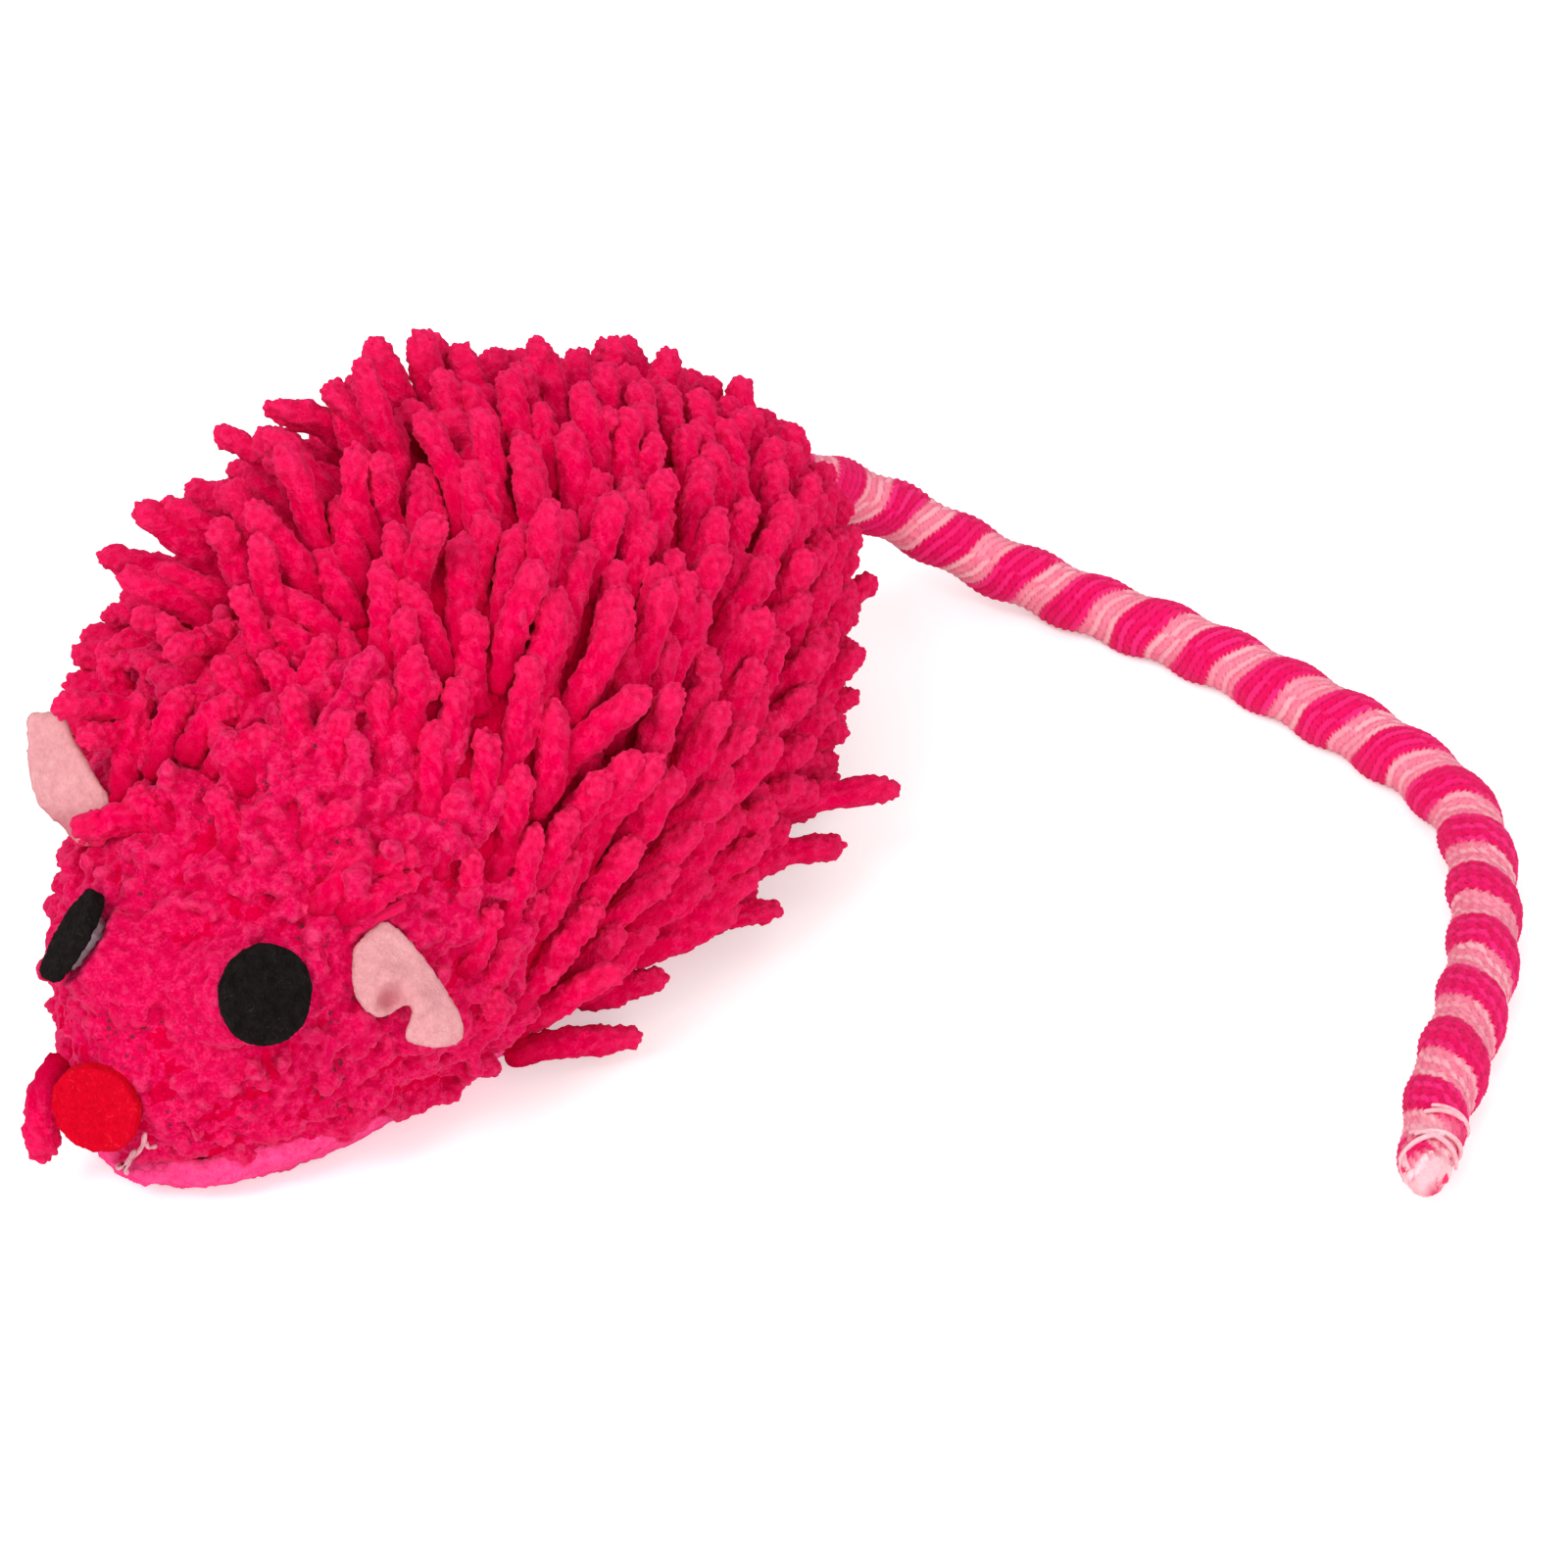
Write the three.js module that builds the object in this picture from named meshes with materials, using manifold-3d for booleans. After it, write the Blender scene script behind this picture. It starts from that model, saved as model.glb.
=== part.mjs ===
// Catnip mouse: a stuffed teardrop body in a knitted cover with chenille fingers,
// a flat velour base, felt eyes, nose and ears, and a knitted cord tail.
// Millimetres, +Z up, nose towards -Y. The origin is on the floor under the middle of the body.

import * as THREE from 'three';
import { mergeVertices } from 'three/addons/utils/BufferGeometryUtils.js';
import Module from 'manifold-3d';

const wasm = await Module();
wasm.setup();
const { degToRad: radians, lerp: between } = THREE.MathUtils;

// Body: a teardrop around a sloping centre line, pressed flat underneath
const BODY_LENGTH = 117;
const BODY_WIDTH = 54;
const CROWN_RISE = 33;
const BELLY_DROP = 21.5;
const NOSE_HEIGHT = 13;
const RUMP_HEIGHT = 22;
const SECTION_POWER = 2.3;
const PLAN_TAPER = { snout: 0.58, rump: 0.6 };
const CROWN_TAPER = { snout: 0.68, rump: 0.75 };
const BELLY_TAPER = { snout: 0.36, rump: 0.3 };

// Cloth, seams and fill
const GAP = 0.3;
const CLOTH = 2;
const SEAM_HEIGHT = 5;
const SEAM_ALLOWANCE = 1;
const SEAM_ALLOWANCE_HEIGHT = 2.5;
const BACK_SEAM_WIDTH = 5;

// Chenille fingers: rings of them round the body, brushed from the mouse's left over its back to its right
const FACE_LENGTH = 30;
const FINGER_WIDTH = 3.6;
const FINGER_TAPER = 0.8;
const FINGER_LENGTH = 13;
const FRONT_FINGER_LENGTH = 7;
const RUMP_FINGER_LENGTH = 5.5;
const FRONT_RINGS = 4;
const FINGER_PITCH = 7.6;
const RING_PITCH = 4.8;
const FINGER_NAP = 1.05;
const NAP_RISE = 18;
const FINGER_SWEEP_BACK = 0.12;
const FINGER_SPREAD = 0.08;
const FINGER_ABOVE_SEAM = 4.5;
const FINGER_FROM_SEAM = { left: 3, right: 5.2 };

// Catnip sachet
const POUCH_LENGTH = 44;
const POUCH_WIDTH = 24;
const POUCH_HEIGHT = 13;
const POUCH_ROUND = 4;
const POUCH_WALL = 0.9;
const POUCH_MOUTH = 8;
const POUCH_MOUTH_HEIGHT = 2.5;

// Felt discs and their glue
const FELT = 1.4;
const FELT_EDGE = 0.25;
const EYE_DIAMETER = 9.6;
const EYE_LEFT = { back: 10.4, angle: 39, turn: 31, standoff: 2.4 };
const EYE_RIGHT = { back: 7, angle: 64.5, turn: 40, standoff: 2.5 };
const NOSE_DIAMETER = 9;
const NOSE_STANDOFF = 0.7;
const NOSE_TURN = 15;
const NOSE_UP = 13;
const GLUE_SHARE = 0.6;

// Ears: felt petals on a thread tack
const EAR_FELT = 1.2;
const EAR_LENGTH = 13.5;
const EAR_ROOT_WIDTH = 6;
const EAR_TIP_WIDTH = 12;
const EAR_CURL_RADIUS = 8;
const EAR_CORNER_CUT = 0.22;
const EAR_TACK_RADIUS = 0.6;
const EAR_LEFT = { back: 21, angle: 34, turn: -13, lean: -76 };
const EAR_RIGHT = { back: 14.6, angle: 51, turn: -79, lean: 60 };

// Tail: a knitted sleeve over a yarn core, laid on the floor
const TAIL_DIAMETER = 6.6;
const TAIL_WALL = 1.2;
const TAIL_SIDES = 10;
const TAIL_BEND_AT = 111;
const TAIL_TACK_WALL = 1.2;
const TAIL_TACK_HALF_ANGLE = 70;
const TAIL_CAP_LENGTH = 6;
const TAIL_CAP_TIP = 1.9;
const TAIL_PLUG_LENGTH = 4;
const TAIL_FLOOR_GAP = 0.1;
const TAIL_SWING = { least: -25, most: 35 };
const TAIL_LIFT = { most: 35, axis: 58 };

// Route of the tail: steps right and back from its root, and its share of the root's height
const TAIL_ROUTE = [
  [0, 0, 1],
  [0.3, 4, 0.97],
  [1.2, 8.5, 0.86],
  [2.8, 13.2, 0.7],
  [6, 18, 0.5],
  [10.5, 21.3, 0.32],
  [16.5, 23.6, 0.15],
  [23.5, 24.8, 0.05],
  [31.6, 24.9, 0],
  [40, 24.2, 0],
  [48.5, 22.8, 0],
  [60.6, 19.8, 0],
  [70.6, 16.7, 0],
  [79, 13.1, 0],
  [85, 8.8, 0],
  [89.2, 3.4, 0],
  [92.4, -2.6, 0],
  [95.4, -9, 0],
  [98, -15.9, 0],
  [100.9, -26.6, 0],
  [102.8, -35.6, 0],
  [105.4, -45.6, 0],
  [107.5, -51.4, 0],
];

// Facets and the size of a cutting block
const BODY_RINGS = 16;
const BODY_SIDES = 20;
const DISC_SIDES = 24;
const BALL_SIDES = 14;
const EAR_ROWS = 8;
const EAR_COLUMNS = 10;
const ROOM = 400;

// Solids from geometries, and back
function toSolid(geometry) {
  const bare = geometry.clone();
  bare.deleteAttribute('normal');
  bare.deleteAttribute('uv');
  const merged = mergeVertices(bare, 1e-4);
  const corners = merged.index.array;
  const kept = [];
  for (let i = 0; i < corners.length; i += 3) {
    const [a, b, c] = corners.slice(i, i + 3);
    if (a !== b && b !== c && c !== a) kept.push(a, b, c);
  }
  return new wasm.Manifold(new wasm.Mesh({
    numProp: 3,
    vertProperties: new Float32Array(merged.attributes.position.array),
    triVerts: new Uint32Array(kept),
  }));
}

function toGeometry(solid) {
  const mesh = solid.getMesh();
  const geometry = new THREE.BufferGeometry();
  geometry.setAttribute('position', new THREE.BufferAttribute(mesh.vertProperties, 3));
  geometry.setIndex(new THREE.BufferAttribute(mesh.triVerts, 1));
  geometry.computeVertexNormals();
  return geometry;
}

// A cutting block; a side that is left out runs past the object
function block({ left = -ROOM, right = ROOM, front = -ROOM, rear = ROOM, floor = -ROOM, top = ROOM }) {
  const geometry = new THREE.BoxGeometry(right - left, rear - front, top - floor);
  geometry.translate((left + right) / 2, (front + rear) / 2, (floor + top) / 2);
  return toSolid(geometry);
}

// The turn that takes the Y axis, along which cylinders stand, to a direction
function turnTo(direction) {
  return new THREE.Quaternion().setFromUnitVectors(new THREE.Vector3(0, 1, 0), direction);
}

function ball(centre, radius) {
  const geometry = new THREE.SphereGeometry(radius, BALL_SIDES, BALL_SIDES / 2);
  geometry.translate(centre.x, centre.y, centre.z);
  return toSolid(geometry);
}

// Body surface: s runs from the nose, 0, to the rump, 1; angle 0 is the mouse's left, 90 the crown
function bell(s, { snout, rump }) {
  const peak = snout / (snout + rump);
  return (s ** snout * (1 - s) ** rump) / (peak ** snout * (1 - peak) ** rump);
}

function bodyPoint(s, angle) {
  const across = Math.cos(angle);
  const upward = Math.sin(angle);
  const spread = Math.abs(across) ** SECTION_POWER + Math.abs(upward) ** SECTION_POWER;
  const reach = spread ** (-1 / SECTION_POWER);
  const height = upward >= 0 ? CROWN_RISE * bell(s, CROWN_TAPER) : BELLY_DROP * bell(s, BELLY_TAPER);
  const centre = between(NOSE_HEIGHT, RUMP_HEIGHT, s);
  return new THREE.Vector3(
    (BODY_WIDTH / 2) * bell(s, PLAN_TAPER) * reach * across,
    BODY_LENGTH * (s - 0.5),
    centre + height * reach * upward,
  );
}

function bodyNormal(s, angle) {
  const step = 1e-4;
  const along = bodyPoint(s + step, angle).sub(bodyPoint(s - step, angle));
  const around = bodyPoint(s, angle + step).sub(bodyPoint(s, angle - step));
  return along.cross(around).normalize();
}

// The whole teardrop, drawn in by inset and cut flat at that height
function bodySolid(inset) {
  const points = [0, inset - BODY_LENGTH / 2, NOSE_HEIGHT];
  for (let ring = 1; ring < BODY_RINGS; ring += 1) {
    const s = (1 - Math.cos((Math.PI * ring) / BODY_RINGS)) / 2;
    for (let side = 0; side < BODY_SIDES; side += 1) {
      const angle = (2 * Math.PI * side) / BODY_SIDES;
      const point = bodyPoint(s, angle).addScaledVector(bodyNormal(s, angle), -inset);
      points.push(point.x, point.y, point.z);
    }
  }
  points.push(0, BODY_LENGTH / 2 - inset, RUMP_HEIGHT);
  const rumpTip = 1 + (BODY_RINGS - 1) * BODY_SIDES;
  const corner = (ring, side) => 1 + (ring - 1) * BODY_SIDES + (side % BODY_SIDES);
  const faces = [];
  for (let side = 0; side < BODY_SIDES; side += 1) {
    faces.push(0, corner(1, side), corner(1, side + 1));
    faces.push(rumpTip, corner(BODY_RINGS - 1, side + 1), corner(BODY_RINGS - 1, side));
    for (let ring = 1; ring < BODY_RINGS - 1; ring += 1) {
      const [a, b] = [corner(ring, side), corner(ring, side + 1)];
      const [c, d] = [corner(ring + 1, side), corner(ring + 1, side + 1)];
      faces.push(a, c, d, a, d, b);
    }
  }
  const geometry = new THREE.BufferGeometry();
  geometry.setAttribute('position', new THREE.Float32BufferAttribute(points, 3));
  geometry.setIndex(faces);
  return toSolid(geometry).intersect(block({ floor: inset }));
}

// Tail curve and the places on it
const tailRadius = TAIL_DIAMETER / 2;
const tailRest = tailRadius + TAIL_FLOOR_GAP;
const tailRoot = new THREE.Vector3(0, BODY_LENGTH / 2, RUMP_HEIGHT);
const tailCurve = new THREE.CatmullRomCurve3(TAIL_ROUTE.map(([right, back, share]) => new THREE.Vector3(
  tailRoot.x + right,
  tailRoot.y + back,
  between(tailRest, tailRoot.z, share),
)));
const tailLength = tailCurve.getLength();
const tailPoint = (distance) => tailCurve.getPointAt(distance / tailLength);
const tailDirection = (distance) => tailCurve.getTangentAt(distance / tailLength);
const tailBend = tailPoint(TAIL_BEND_AT);
const tackOuter = tailRadius + GAP + TAIL_TACK_WALL;

// Places that the tail passes as it swings and lifts, which the fingers leave free
function tailSweep() {
  const points = [];
  const upright = new THREE.Vector3(0, 0, 1);
  const level = new THREE.Vector3(1, 0, 0).applyAxisAngle(upright, radians(-TAIL_LIFT.axis));
  const reach = FINGER_LENGTH + 2 * FINGER_WIDTH;
  for (const lift of [0, TAIL_LIFT.most / 2, TAIL_LIFT.most]) {
    for (let turn = TAIL_SWING.least; turn <= TAIL_SWING.most; turn += 5) {
      for (let distance = 0; distance <= reach; distance += FINGER_WIDTH / 2) {
        const arm = tailPoint(distance).sub(tailRoot).applyAxisAngle(level, radians(lift));
        points.push(arm.applyAxisAngle(upright, radians(turn)).add(tailRoot));
      }
    }
  }
  return points;
}
const sweptTail = tailSweep();

function hasRoom(root, direction, length) {
  const halfCorner = FINGER_WIDTH * Math.SQRT1_2;
  for (let distance = 0; distance <= length; distance += FINGER_WIDTH / 2) {
    const point = root.clone().addScaledVector(direction, distance);
    if (sweptTail.some((place) => place.distanceTo(point) < tailRadius + halfCorner + GAP)) return false;
  }
  return true;
}

// A repeatable scatter between -1 and 1 for finger number index in a ring
function scatter(ring, index, kind) {
  const wave = Math.sin(ring * 127.1 + index * 311.7 + kind * 74.7) * 43758.5453;
  return 2 * (wave - Math.floor(wave)) - 1;
}

// The nap is full on the flanks and the back, and fades towards the base seam and over the rump
function fingerDirection(s, angle, ring, index) {
  const step = 1e-4;
  const direction = bodyNormal(s, angle);
  const over = bodyPoint(s, angle + step).sub(bodyPoint(s, angle - step)).normalize();
  const rise = Math.min(1, (bodyPoint(s, angle).z - SEAM_HEIGHT) / NAP_RISE);
  const nap = FINGER_NAP * rise * (1 - direction.y ** 2);
  direction.addScaledVector(over, nap + FINGER_SPREAD * scatter(ring, index, 1));
  direction.y += FINGER_SWEEP_BACK + FINGER_SPREAD * scatter(ring, index, 2);
  return direction.normalize();
}

// A square finger with a narrower tip, rooted through the cloth
function finger({ root, direction, normal, length }) {
  const buried = CLOTH + FINGER_WIDTH / 2;
  const geometry = new THREE.BoxGeometry(FINGER_WIDTH, length + buried, FINGER_WIDTH);
  const corners = geometry.attributes.position;
  for (let i = 0; i < corners.count; i += 1) {
    const narrowed = corners.getY(i) > 0 ? FINGER_TAPER : 1;
    corners.setX(i, narrowed * corners.getX(i));
    corners.setZ(i, narrowed * corners.getZ(i));
  }
  geometry.translate(0, (length - buried) / 2, 0);
  const across = new THREE.Vector3().crossVectors(direction, normal).normalize();
  const upper = new THREE.Vector3().crossVectors(across, direction);
  geometry.applyMatrix4(new THREE.Matrix4().makeBasis(across, direction, upper));
  geometry.translate(root.x, root.y, root.z);
  return toSolid(geometry);
}

// Rings are a pitch apart, measured half way up the flank
function fingerRings() {
  const rings = [];
  const flank = Math.PI / 4;
  const step = 1e-3;
  let travelled = 0;
  let last = bodyPoint(FACE_LENGTH / BODY_LENGTH, flank);
  for (let s = FACE_LENGTH / BODY_LENGTH; s < 1; s += step) {
    const next = bodyPoint(s, flank);
    travelled += next.distanceTo(last);
    last = next;
    if (travelled >= rings.length * RING_PITCH) rings.push(s);
  }
  return rings;
}

// Fingers of one half, from the back seam down to the base seam, staggered from ring to ring
function fingers(side) {
  const found = [];
  const step = 1e-2;
  const fromSeam = side > 0 ? FINGER_FROM_SEAM.left : FINGER_FROM_SEAM.right;
  fingerRings().forEach((s, ring) => {
    const longest = between(FRONT_FINGER_LENGTH, FINGER_LENGTH, Math.min(1, ring / FRONT_RINGS));
    const first = fromSeam + (ring % 2) * (FINGER_PITCH / 2);
    let travelled = 0;
    let index = 0;
    let last = bodyPoint(s, Math.PI / 2);
    for (let turn = 0; turn < Math.PI; turn += step) {
      const angle = Math.PI / 2 - side * turn;
      const root = bodyPoint(s, angle);
      if (root.z < SEAM_HEIGHT + FINGER_ABOVE_SEAM) break;
      travelled += root.distanceTo(last);
      last = root;
      if (side * root.x < fromSeam || travelled < first + index * FINGER_PITCH) continue;
      const direction = fingerDirection(s, angle, ring, index * side);
      index += 1;
      const normal = bodyNormal(s, angle);
      const length = between(longest, RUMP_FINGER_LENGTH, Math.max(0, normal.y));
      const fits = [length, length / 2].find((reach) => hasRoom(root, direction, reach));
      if (fits) found.push({ root, direction, normal, length: fits });
    }
  });
  return found;
}

// Cover halves: side is 1 for the mouse's left and -1 for its right
const outerBody = bodySolid(0);
const innerBody = bodySolid(CLOTH);

function cover(side) {
  const half = side > 0 ? { left: GAP / 2 } : { right: -GAP / 2 };
  let panel = outerBody.intersect(block({ ...half, floor: SEAM_HEIGHT + GAP / 2 }));
  for (const place of fingers(side)) panel = panel.add(finger(place));
  return panel.subtract(innerBody).subtract(ball(tailRoot, tackOuter + GAP));
}

function basePanel() {
  return outerBody.subtract(innerBody).intersect(block({ top: SEAM_HEIGHT - GAP / 2 }));
}

// Seam allowances lie just inside the cloth
const seamSkin = bodySolid(CLOTH + GAP).subtract(bodySolid(CLOTH + GAP + SEAM_ALLOWANCE));
const seamTop = SEAM_HEIGHT + SEAM_ALLOWANCE_HEIGHT;
const fillFloor = CLOTH + SEAM_ALLOWANCE + 2 * GAP;

function baseSeam() {
  return seamSkin.intersect(block({ floor: fillFloor, top: seamTop }));
}

// The back seam runs from the snout over the back and stops at the tail
function backSeam() {
  const strip = block({ left: -BACK_SEAM_WIDTH / 2, right: BACK_SEAM_WIDTH / 2, floor: seamTop + GAP });
  const tailNotch = block({ front: 0, top: tailRoot.z + tackOuter + GAP });
  return seamSkin.intersect(strip).subtract(tailNotch);
}

// Catnip sachet: a pillow with a slit mouth, lying on the base panel
const pouchFloor = CLOTH + GAP;

function pillow(inset) {
  const half = { x: POUCH_WIDTH / 2 - POUCH_ROUND, y: POUCH_LENGTH / 2 - POUCH_ROUND };
  const outline = new THREE.Shape([
    new THREE.Vector2(-half.x, -half.y),
    new THREE.Vector2(half.x, -half.y),
    new THREE.Vector2(half.x, half.y),
    new THREE.Vector2(-half.x, half.y),
  ]);
  const roundness = POUCH_ROUND - inset;
  const geometry = new THREE.ExtrudeGeometry(outline, {
    depth: POUCH_HEIGHT - 2 * POUCH_ROUND,
    bevelThickness: roundness,
    bevelSize: roundness,
    bevelSegments: 3,
  });
  geometry.translate(0, 0, pouchFloor + POUCH_ROUND);
  return toSolid(geometry);
}

function catnipPouch() {
  const middle = pouchFloor + POUCH_HEIGHT / 2;
  const mouth = block({
    left: -POUCH_MOUTH / 2,
    right: POUCH_MOUTH / 2,
    front: 0,
    floor: middle - POUCH_MOUTH_HEIGHT / 2,
    top: middle + POUCH_MOUTH_HEIGHT / 2,
  });
  return pillow(0).subtract(pillow(POUCH_WALL)).subtract(mouth);
}

// Fill inside the seams, open underneath for the sachet and hollowed behind the tail
function stuffing() {
  const pocketSide = { x: POUCH_WIDTH / 2 + GAP, y: POUCH_LENGTH / 2 + GAP };
  const pocket = block({
    left: -pocketSide.x,
    right: pocketSide.x,
    front: -pocketSide.y,
    rear: pocketSide.y,
    top: pouchFloor + POUCH_HEIGHT + GAP,
  });
  return bodySolid(fillFloor)
    .subtract(pocket)
    .subtract(ball(tailRoot, tackOuter + GAP));
}

// A felt disc with softened edges, its back on the plane z = 0
function disc(diameter) {
  const radius = diameter / 2;
  const geometry = new THREE.LatheGeometry([
    new THREE.Vector2(0, 0),
    new THREE.Vector2(radius - FELT_EDGE, 0),
    new THREE.Vector2(radius, FELT_EDGE),
    new THREE.Vector2(radius, FELT - FELT_EDGE),
    new THREE.Vector2(radius - FELT_EDGE, FELT),
    new THREE.Vector2(0, FELT),
  ], DISC_SIDES);
  return geometry.rotateX(Math.PI / 2);
}

// A slug of glue under a disc, cut to the cover it sticks to
const gluedCover = bodySolid(-GAP);

function glue(diameter, standoff, frame) {
  const radius = (GLUE_SHARE * diameter) / 2;
  const depth = standoff + CLOTH;
  const geometry = new THREE.CylinderGeometry(radius, radius, depth, DISC_SIDES / 2);
  geometry.rotateX(Math.PI / 2);
  geometry.translate(0, 0, -GAP - depth / 2);
  return toSolid(geometry.applyMatrix4(frame)).subtract(gluedCover);
}

// A frame whose Z axis points along facing
function frameAt(place, facing) {
  const turn = new THREE.Quaternion().setFromUnitVectors(new THREE.Vector3(0, 0, 1), facing);
  return new THREE.Matrix4().compose(place, turn, new THREE.Vector3(1, 1, 1));
}

function eyeFrame({ back, angle, turn, standoff }, side) {
  const s = back / BODY_LENGTH;
  const normal = bodyNormal(s, radians(angle));
  const place = bodyPoint(s, radians(angle)).addScaledVector(normal, standoff);
  normal.applyAxisAngle(new THREE.Vector3(0, 0, 1), radians(turn));
  const mirror = new THREE.Vector3(side, 1, 1);
  return frameAt(place.multiply(mirror), normal.multiply(mirror));
}

const noseFacing = new THREE.Vector3(0, -1, 0)
  .applyAxisAngle(new THREE.Vector3(1, 0, 0), radians(-NOSE_UP))
  .applyAxisAngle(new THREE.Vector3(0, 0, 1), radians(NOSE_TURN));
const noseFrame = frameAt(
  new THREE.Vector3(0, -BODY_LENGTH / 2 - NOSE_STANDOFF, NOSE_HEIGHT),
  noseFacing,
);

// An ear's place: its tack on the cover, the hinge along the tack and the way the petal reaches
function earPlace({ back, angle, turn, lean }, side) {
  const s = back / BODY_LENGTH;
  const round = radians(angle);
  const mirror = new THREE.Vector3(side, 1, 1);
  const normal = bodyNormal(s, round);
  const hinge = bodyPoint(s + 1e-3, round).sub(bodyPoint(s - 1e-3, round)).normalize();
  hinge.applyAxisAngle(normal, radians(turn));
  const tack = bodyPoint(s, round).addScaledVector(normal, GAP + EAR_TACK_RADIUS);
  const reach = normal.clone().applyAxisAngle(hinge, radians(-lean));
  return {
    tack: tack.multiply(mirror),
    hinge: hinge.multiply(mirror),
    reach: reach.multiply(mirror),
  };
}

// A cupped felt petal: narrow at the tack, wider and rounded at its free edge
function ear(place, side) {
  const [rows, columns] = [EAR_ROWS, EAR_COLUMNS];
  const inside = new THREE.Vector3().crossVectors(place.hinge, place.reach).multiplyScalar(side);
  const start = EAR_TACK_RADIUS + GAP;
  const middle = (along, across) => {
    const width = between(EAR_ROOT_WIDTH, EAR_TIP_WIDTH, Math.sin((along * Math.PI) / 2));
    const bend = (across * width) / 2 / EAR_CURL_RADIUS;
    const length = start + along * (EAR_LENGTH - start) * (1 - EAR_CORNER_CUT * across ** 4);
    return place.tack.clone()
      .addScaledVector(place.reach, length)
      .addScaledVector(place.hinge, EAR_CURL_RADIUS * Math.sin(bend))
      .addScaledVector(inside, EAR_CURL_RADIUS * (1 - Math.cos(bend)));
  };
  const thick = (along, across, half) => {
    const step = 1e-3;
    const up = middle(along + step, across).sub(middle(along - step, across));
    const over = middle(along, across + step).sub(middle(along, across - step));
    return middle(along, across).addScaledVector(over.cross(up).normalize(), half);
  };
  const points = [];
  for (const half of [EAR_FELT / 2, -EAR_FELT / 2]) {
    for (let row = 0; row <= rows; row += 1) {
      for (let column = 0; column <= columns; column += 1) {
        const point = thick(row / rows, (2 * column) / columns - 1, half);
        points.push(point.x, point.y, point.z);
      }
    }
  }
  const layer = (rows + 1) * (columns + 1);
  const corner = (row, column, back) => row * (columns + 1) + column + back * layer;
  const faces = [];
  const quad = (a, b, c, d) => faces.push(a, b, c, a, c, d);
  const edge = (from, to) => {
    quad(corner(...from, 0), corner(...to, 0), corner(...to, 1), corner(...from, 1));
  };
  for (let row = 0; row < rows; row += 1) {
    for (let column = 0; column < columns; column += 1) {
      const [a, b] = [[row, column], [row, column + 1]];
      const [c, d] = [[row + 1, column + 1], [row + 1, column]];
      quad(corner(...a, 0), corner(...b, 0), corner(...c, 0), corner(...d, 0));
      quad(corner(...a, 1), corner(...d, 1), corner(...c, 1), corner(...b, 1));
    }
    edge([row, 0], [row + 1, 0]);
    edge([row + 1, columns], [row, columns]);
  }
  for (let column = 0; column < columns; column += 1) {
    edge([0, column + 1], [0, column]);
    edge([rows, column], [rows, column + 1]);
  }
  const geometry = new THREE.BufferGeometry();
  geometry.setAttribute('position', new THREE.Float32BufferAttribute(points, 3));
  geometry.setIndex(faces);
  return geometry;
}

function earStitch(place) {
  const geometry = new THREE.CapsuleGeometry(EAR_TACK_RADIUS, EAR_ROOT_WIDTH - 2 * EAR_TACK_RADIUS, 3, 8);
  geometry.applyQuaternion(turnTo(place.hinge));
  return geometry.translate(place.tack.x, place.tack.y, place.tack.z);
}

// A tube along the tail between two distances from its root, with a bore if one is given
function tailTube(from, to, radius, bore) {
  const ring = (size) => Array.from({ length: TAIL_SIDES }, (unused, side) => {
    const angle = (2 * Math.PI * side) / TAIL_SIDES;
    return new THREE.Vector2(size * Math.cos(angle), size * Math.sin(angle));
  });
  const section = new THREE.Shape(ring(radius));
  if (bore) section.holes.push(new THREE.Path(ring(bore)));
  const steps = Math.round((to - from) / (2 * TAIL_DIAMETER));
  const places = Array.from({ length: steps + 1 }, (unused, i) => tailPoint(between(from, to, i / steps)));
  const extrudePath = new THREE.CatmullRomCurve3(places);
  return toSolid(new THREE.ExtrudeGeometry(section, { steps, extrudePath }));
}

const tailBore = tailRadius - TAIL_WALL;
const coreRadius = tailBore - 2 * GAP;
const sleeveEnd = tailLength - TAIL_CAP_LENGTH;

// The cord turns about the middle of a ball at its root and at its bend
function tailRootSleeve() {
  const backward = tailDirection(0).negate();
  const hole = new THREE.CylinderGeometry(tailBore, tailBore, TAIL_DIAMETER, TAIL_SIDES);
  hole.translate(0, TAIL_DIAMETER / 2, 0);
  hole.applyQuaternion(turnTo(backward));
  hole.translate(tailRoot.x, tailRoot.y, tailRoot.z);
  const innerTube = tailTube(0, TAIL_BEND_AT - tailRadius, tailBore);
  return tailTube(0, TAIL_BEND_AT, tailRadius)
    .add(ball(tailRoot, tailRadius))
    .add(ball(tailBend, tailRadius))
    .subtract(innerTube)
    .subtract(toSolid(hole));
}

function tailTipSleeve() {
  const cup = ball(tailBend, tailRadius + 2 * GAP);
  return tailTube(TAIL_BEND_AT, sleeveEnd, tailRadius, tailBore).subtract(cup);
}

function tailTipCore() {
  const start = TAIL_BEND_AT + tailRadius + 4 * GAP;
  return tailTube(start, sleeveEnd - TAIL_PLUG_LENGTH - GAP, coreRadius);
}

// Cap of glue: a plug in the sleeve's end and a blunt cone past it
function tailEndGlue() {
  const geometry = new THREE.LatheGeometry([
    new THREE.Vector2(0, -TAIL_PLUG_LENGTH),
    new THREE.Vector2(coreRadius, -TAIL_PLUG_LENGTH),
    new THREE.Vector2(coreRadius, GAP),
    new THREE.Vector2(tailRadius, GAP),
    new THREE.Vector2(tailRadius - GAP, TAIL_CAP_LENGTH / 2),
    new THREE.Vector2(TAIL_CAP_TIP, TAIL_CAP_LENGTH),
    new THREE.Vector2(0, TAIL_CAP_LENGTH),
  ], TAIL_SIDES);
  geometry.applyQuaternion(turnTo(tailDirection(sleeveEnd)));
  const end = tailPoint(sleeveEnd);
  return toSolid(geometry.translate(end.x, end.y, end.z));
}

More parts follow.
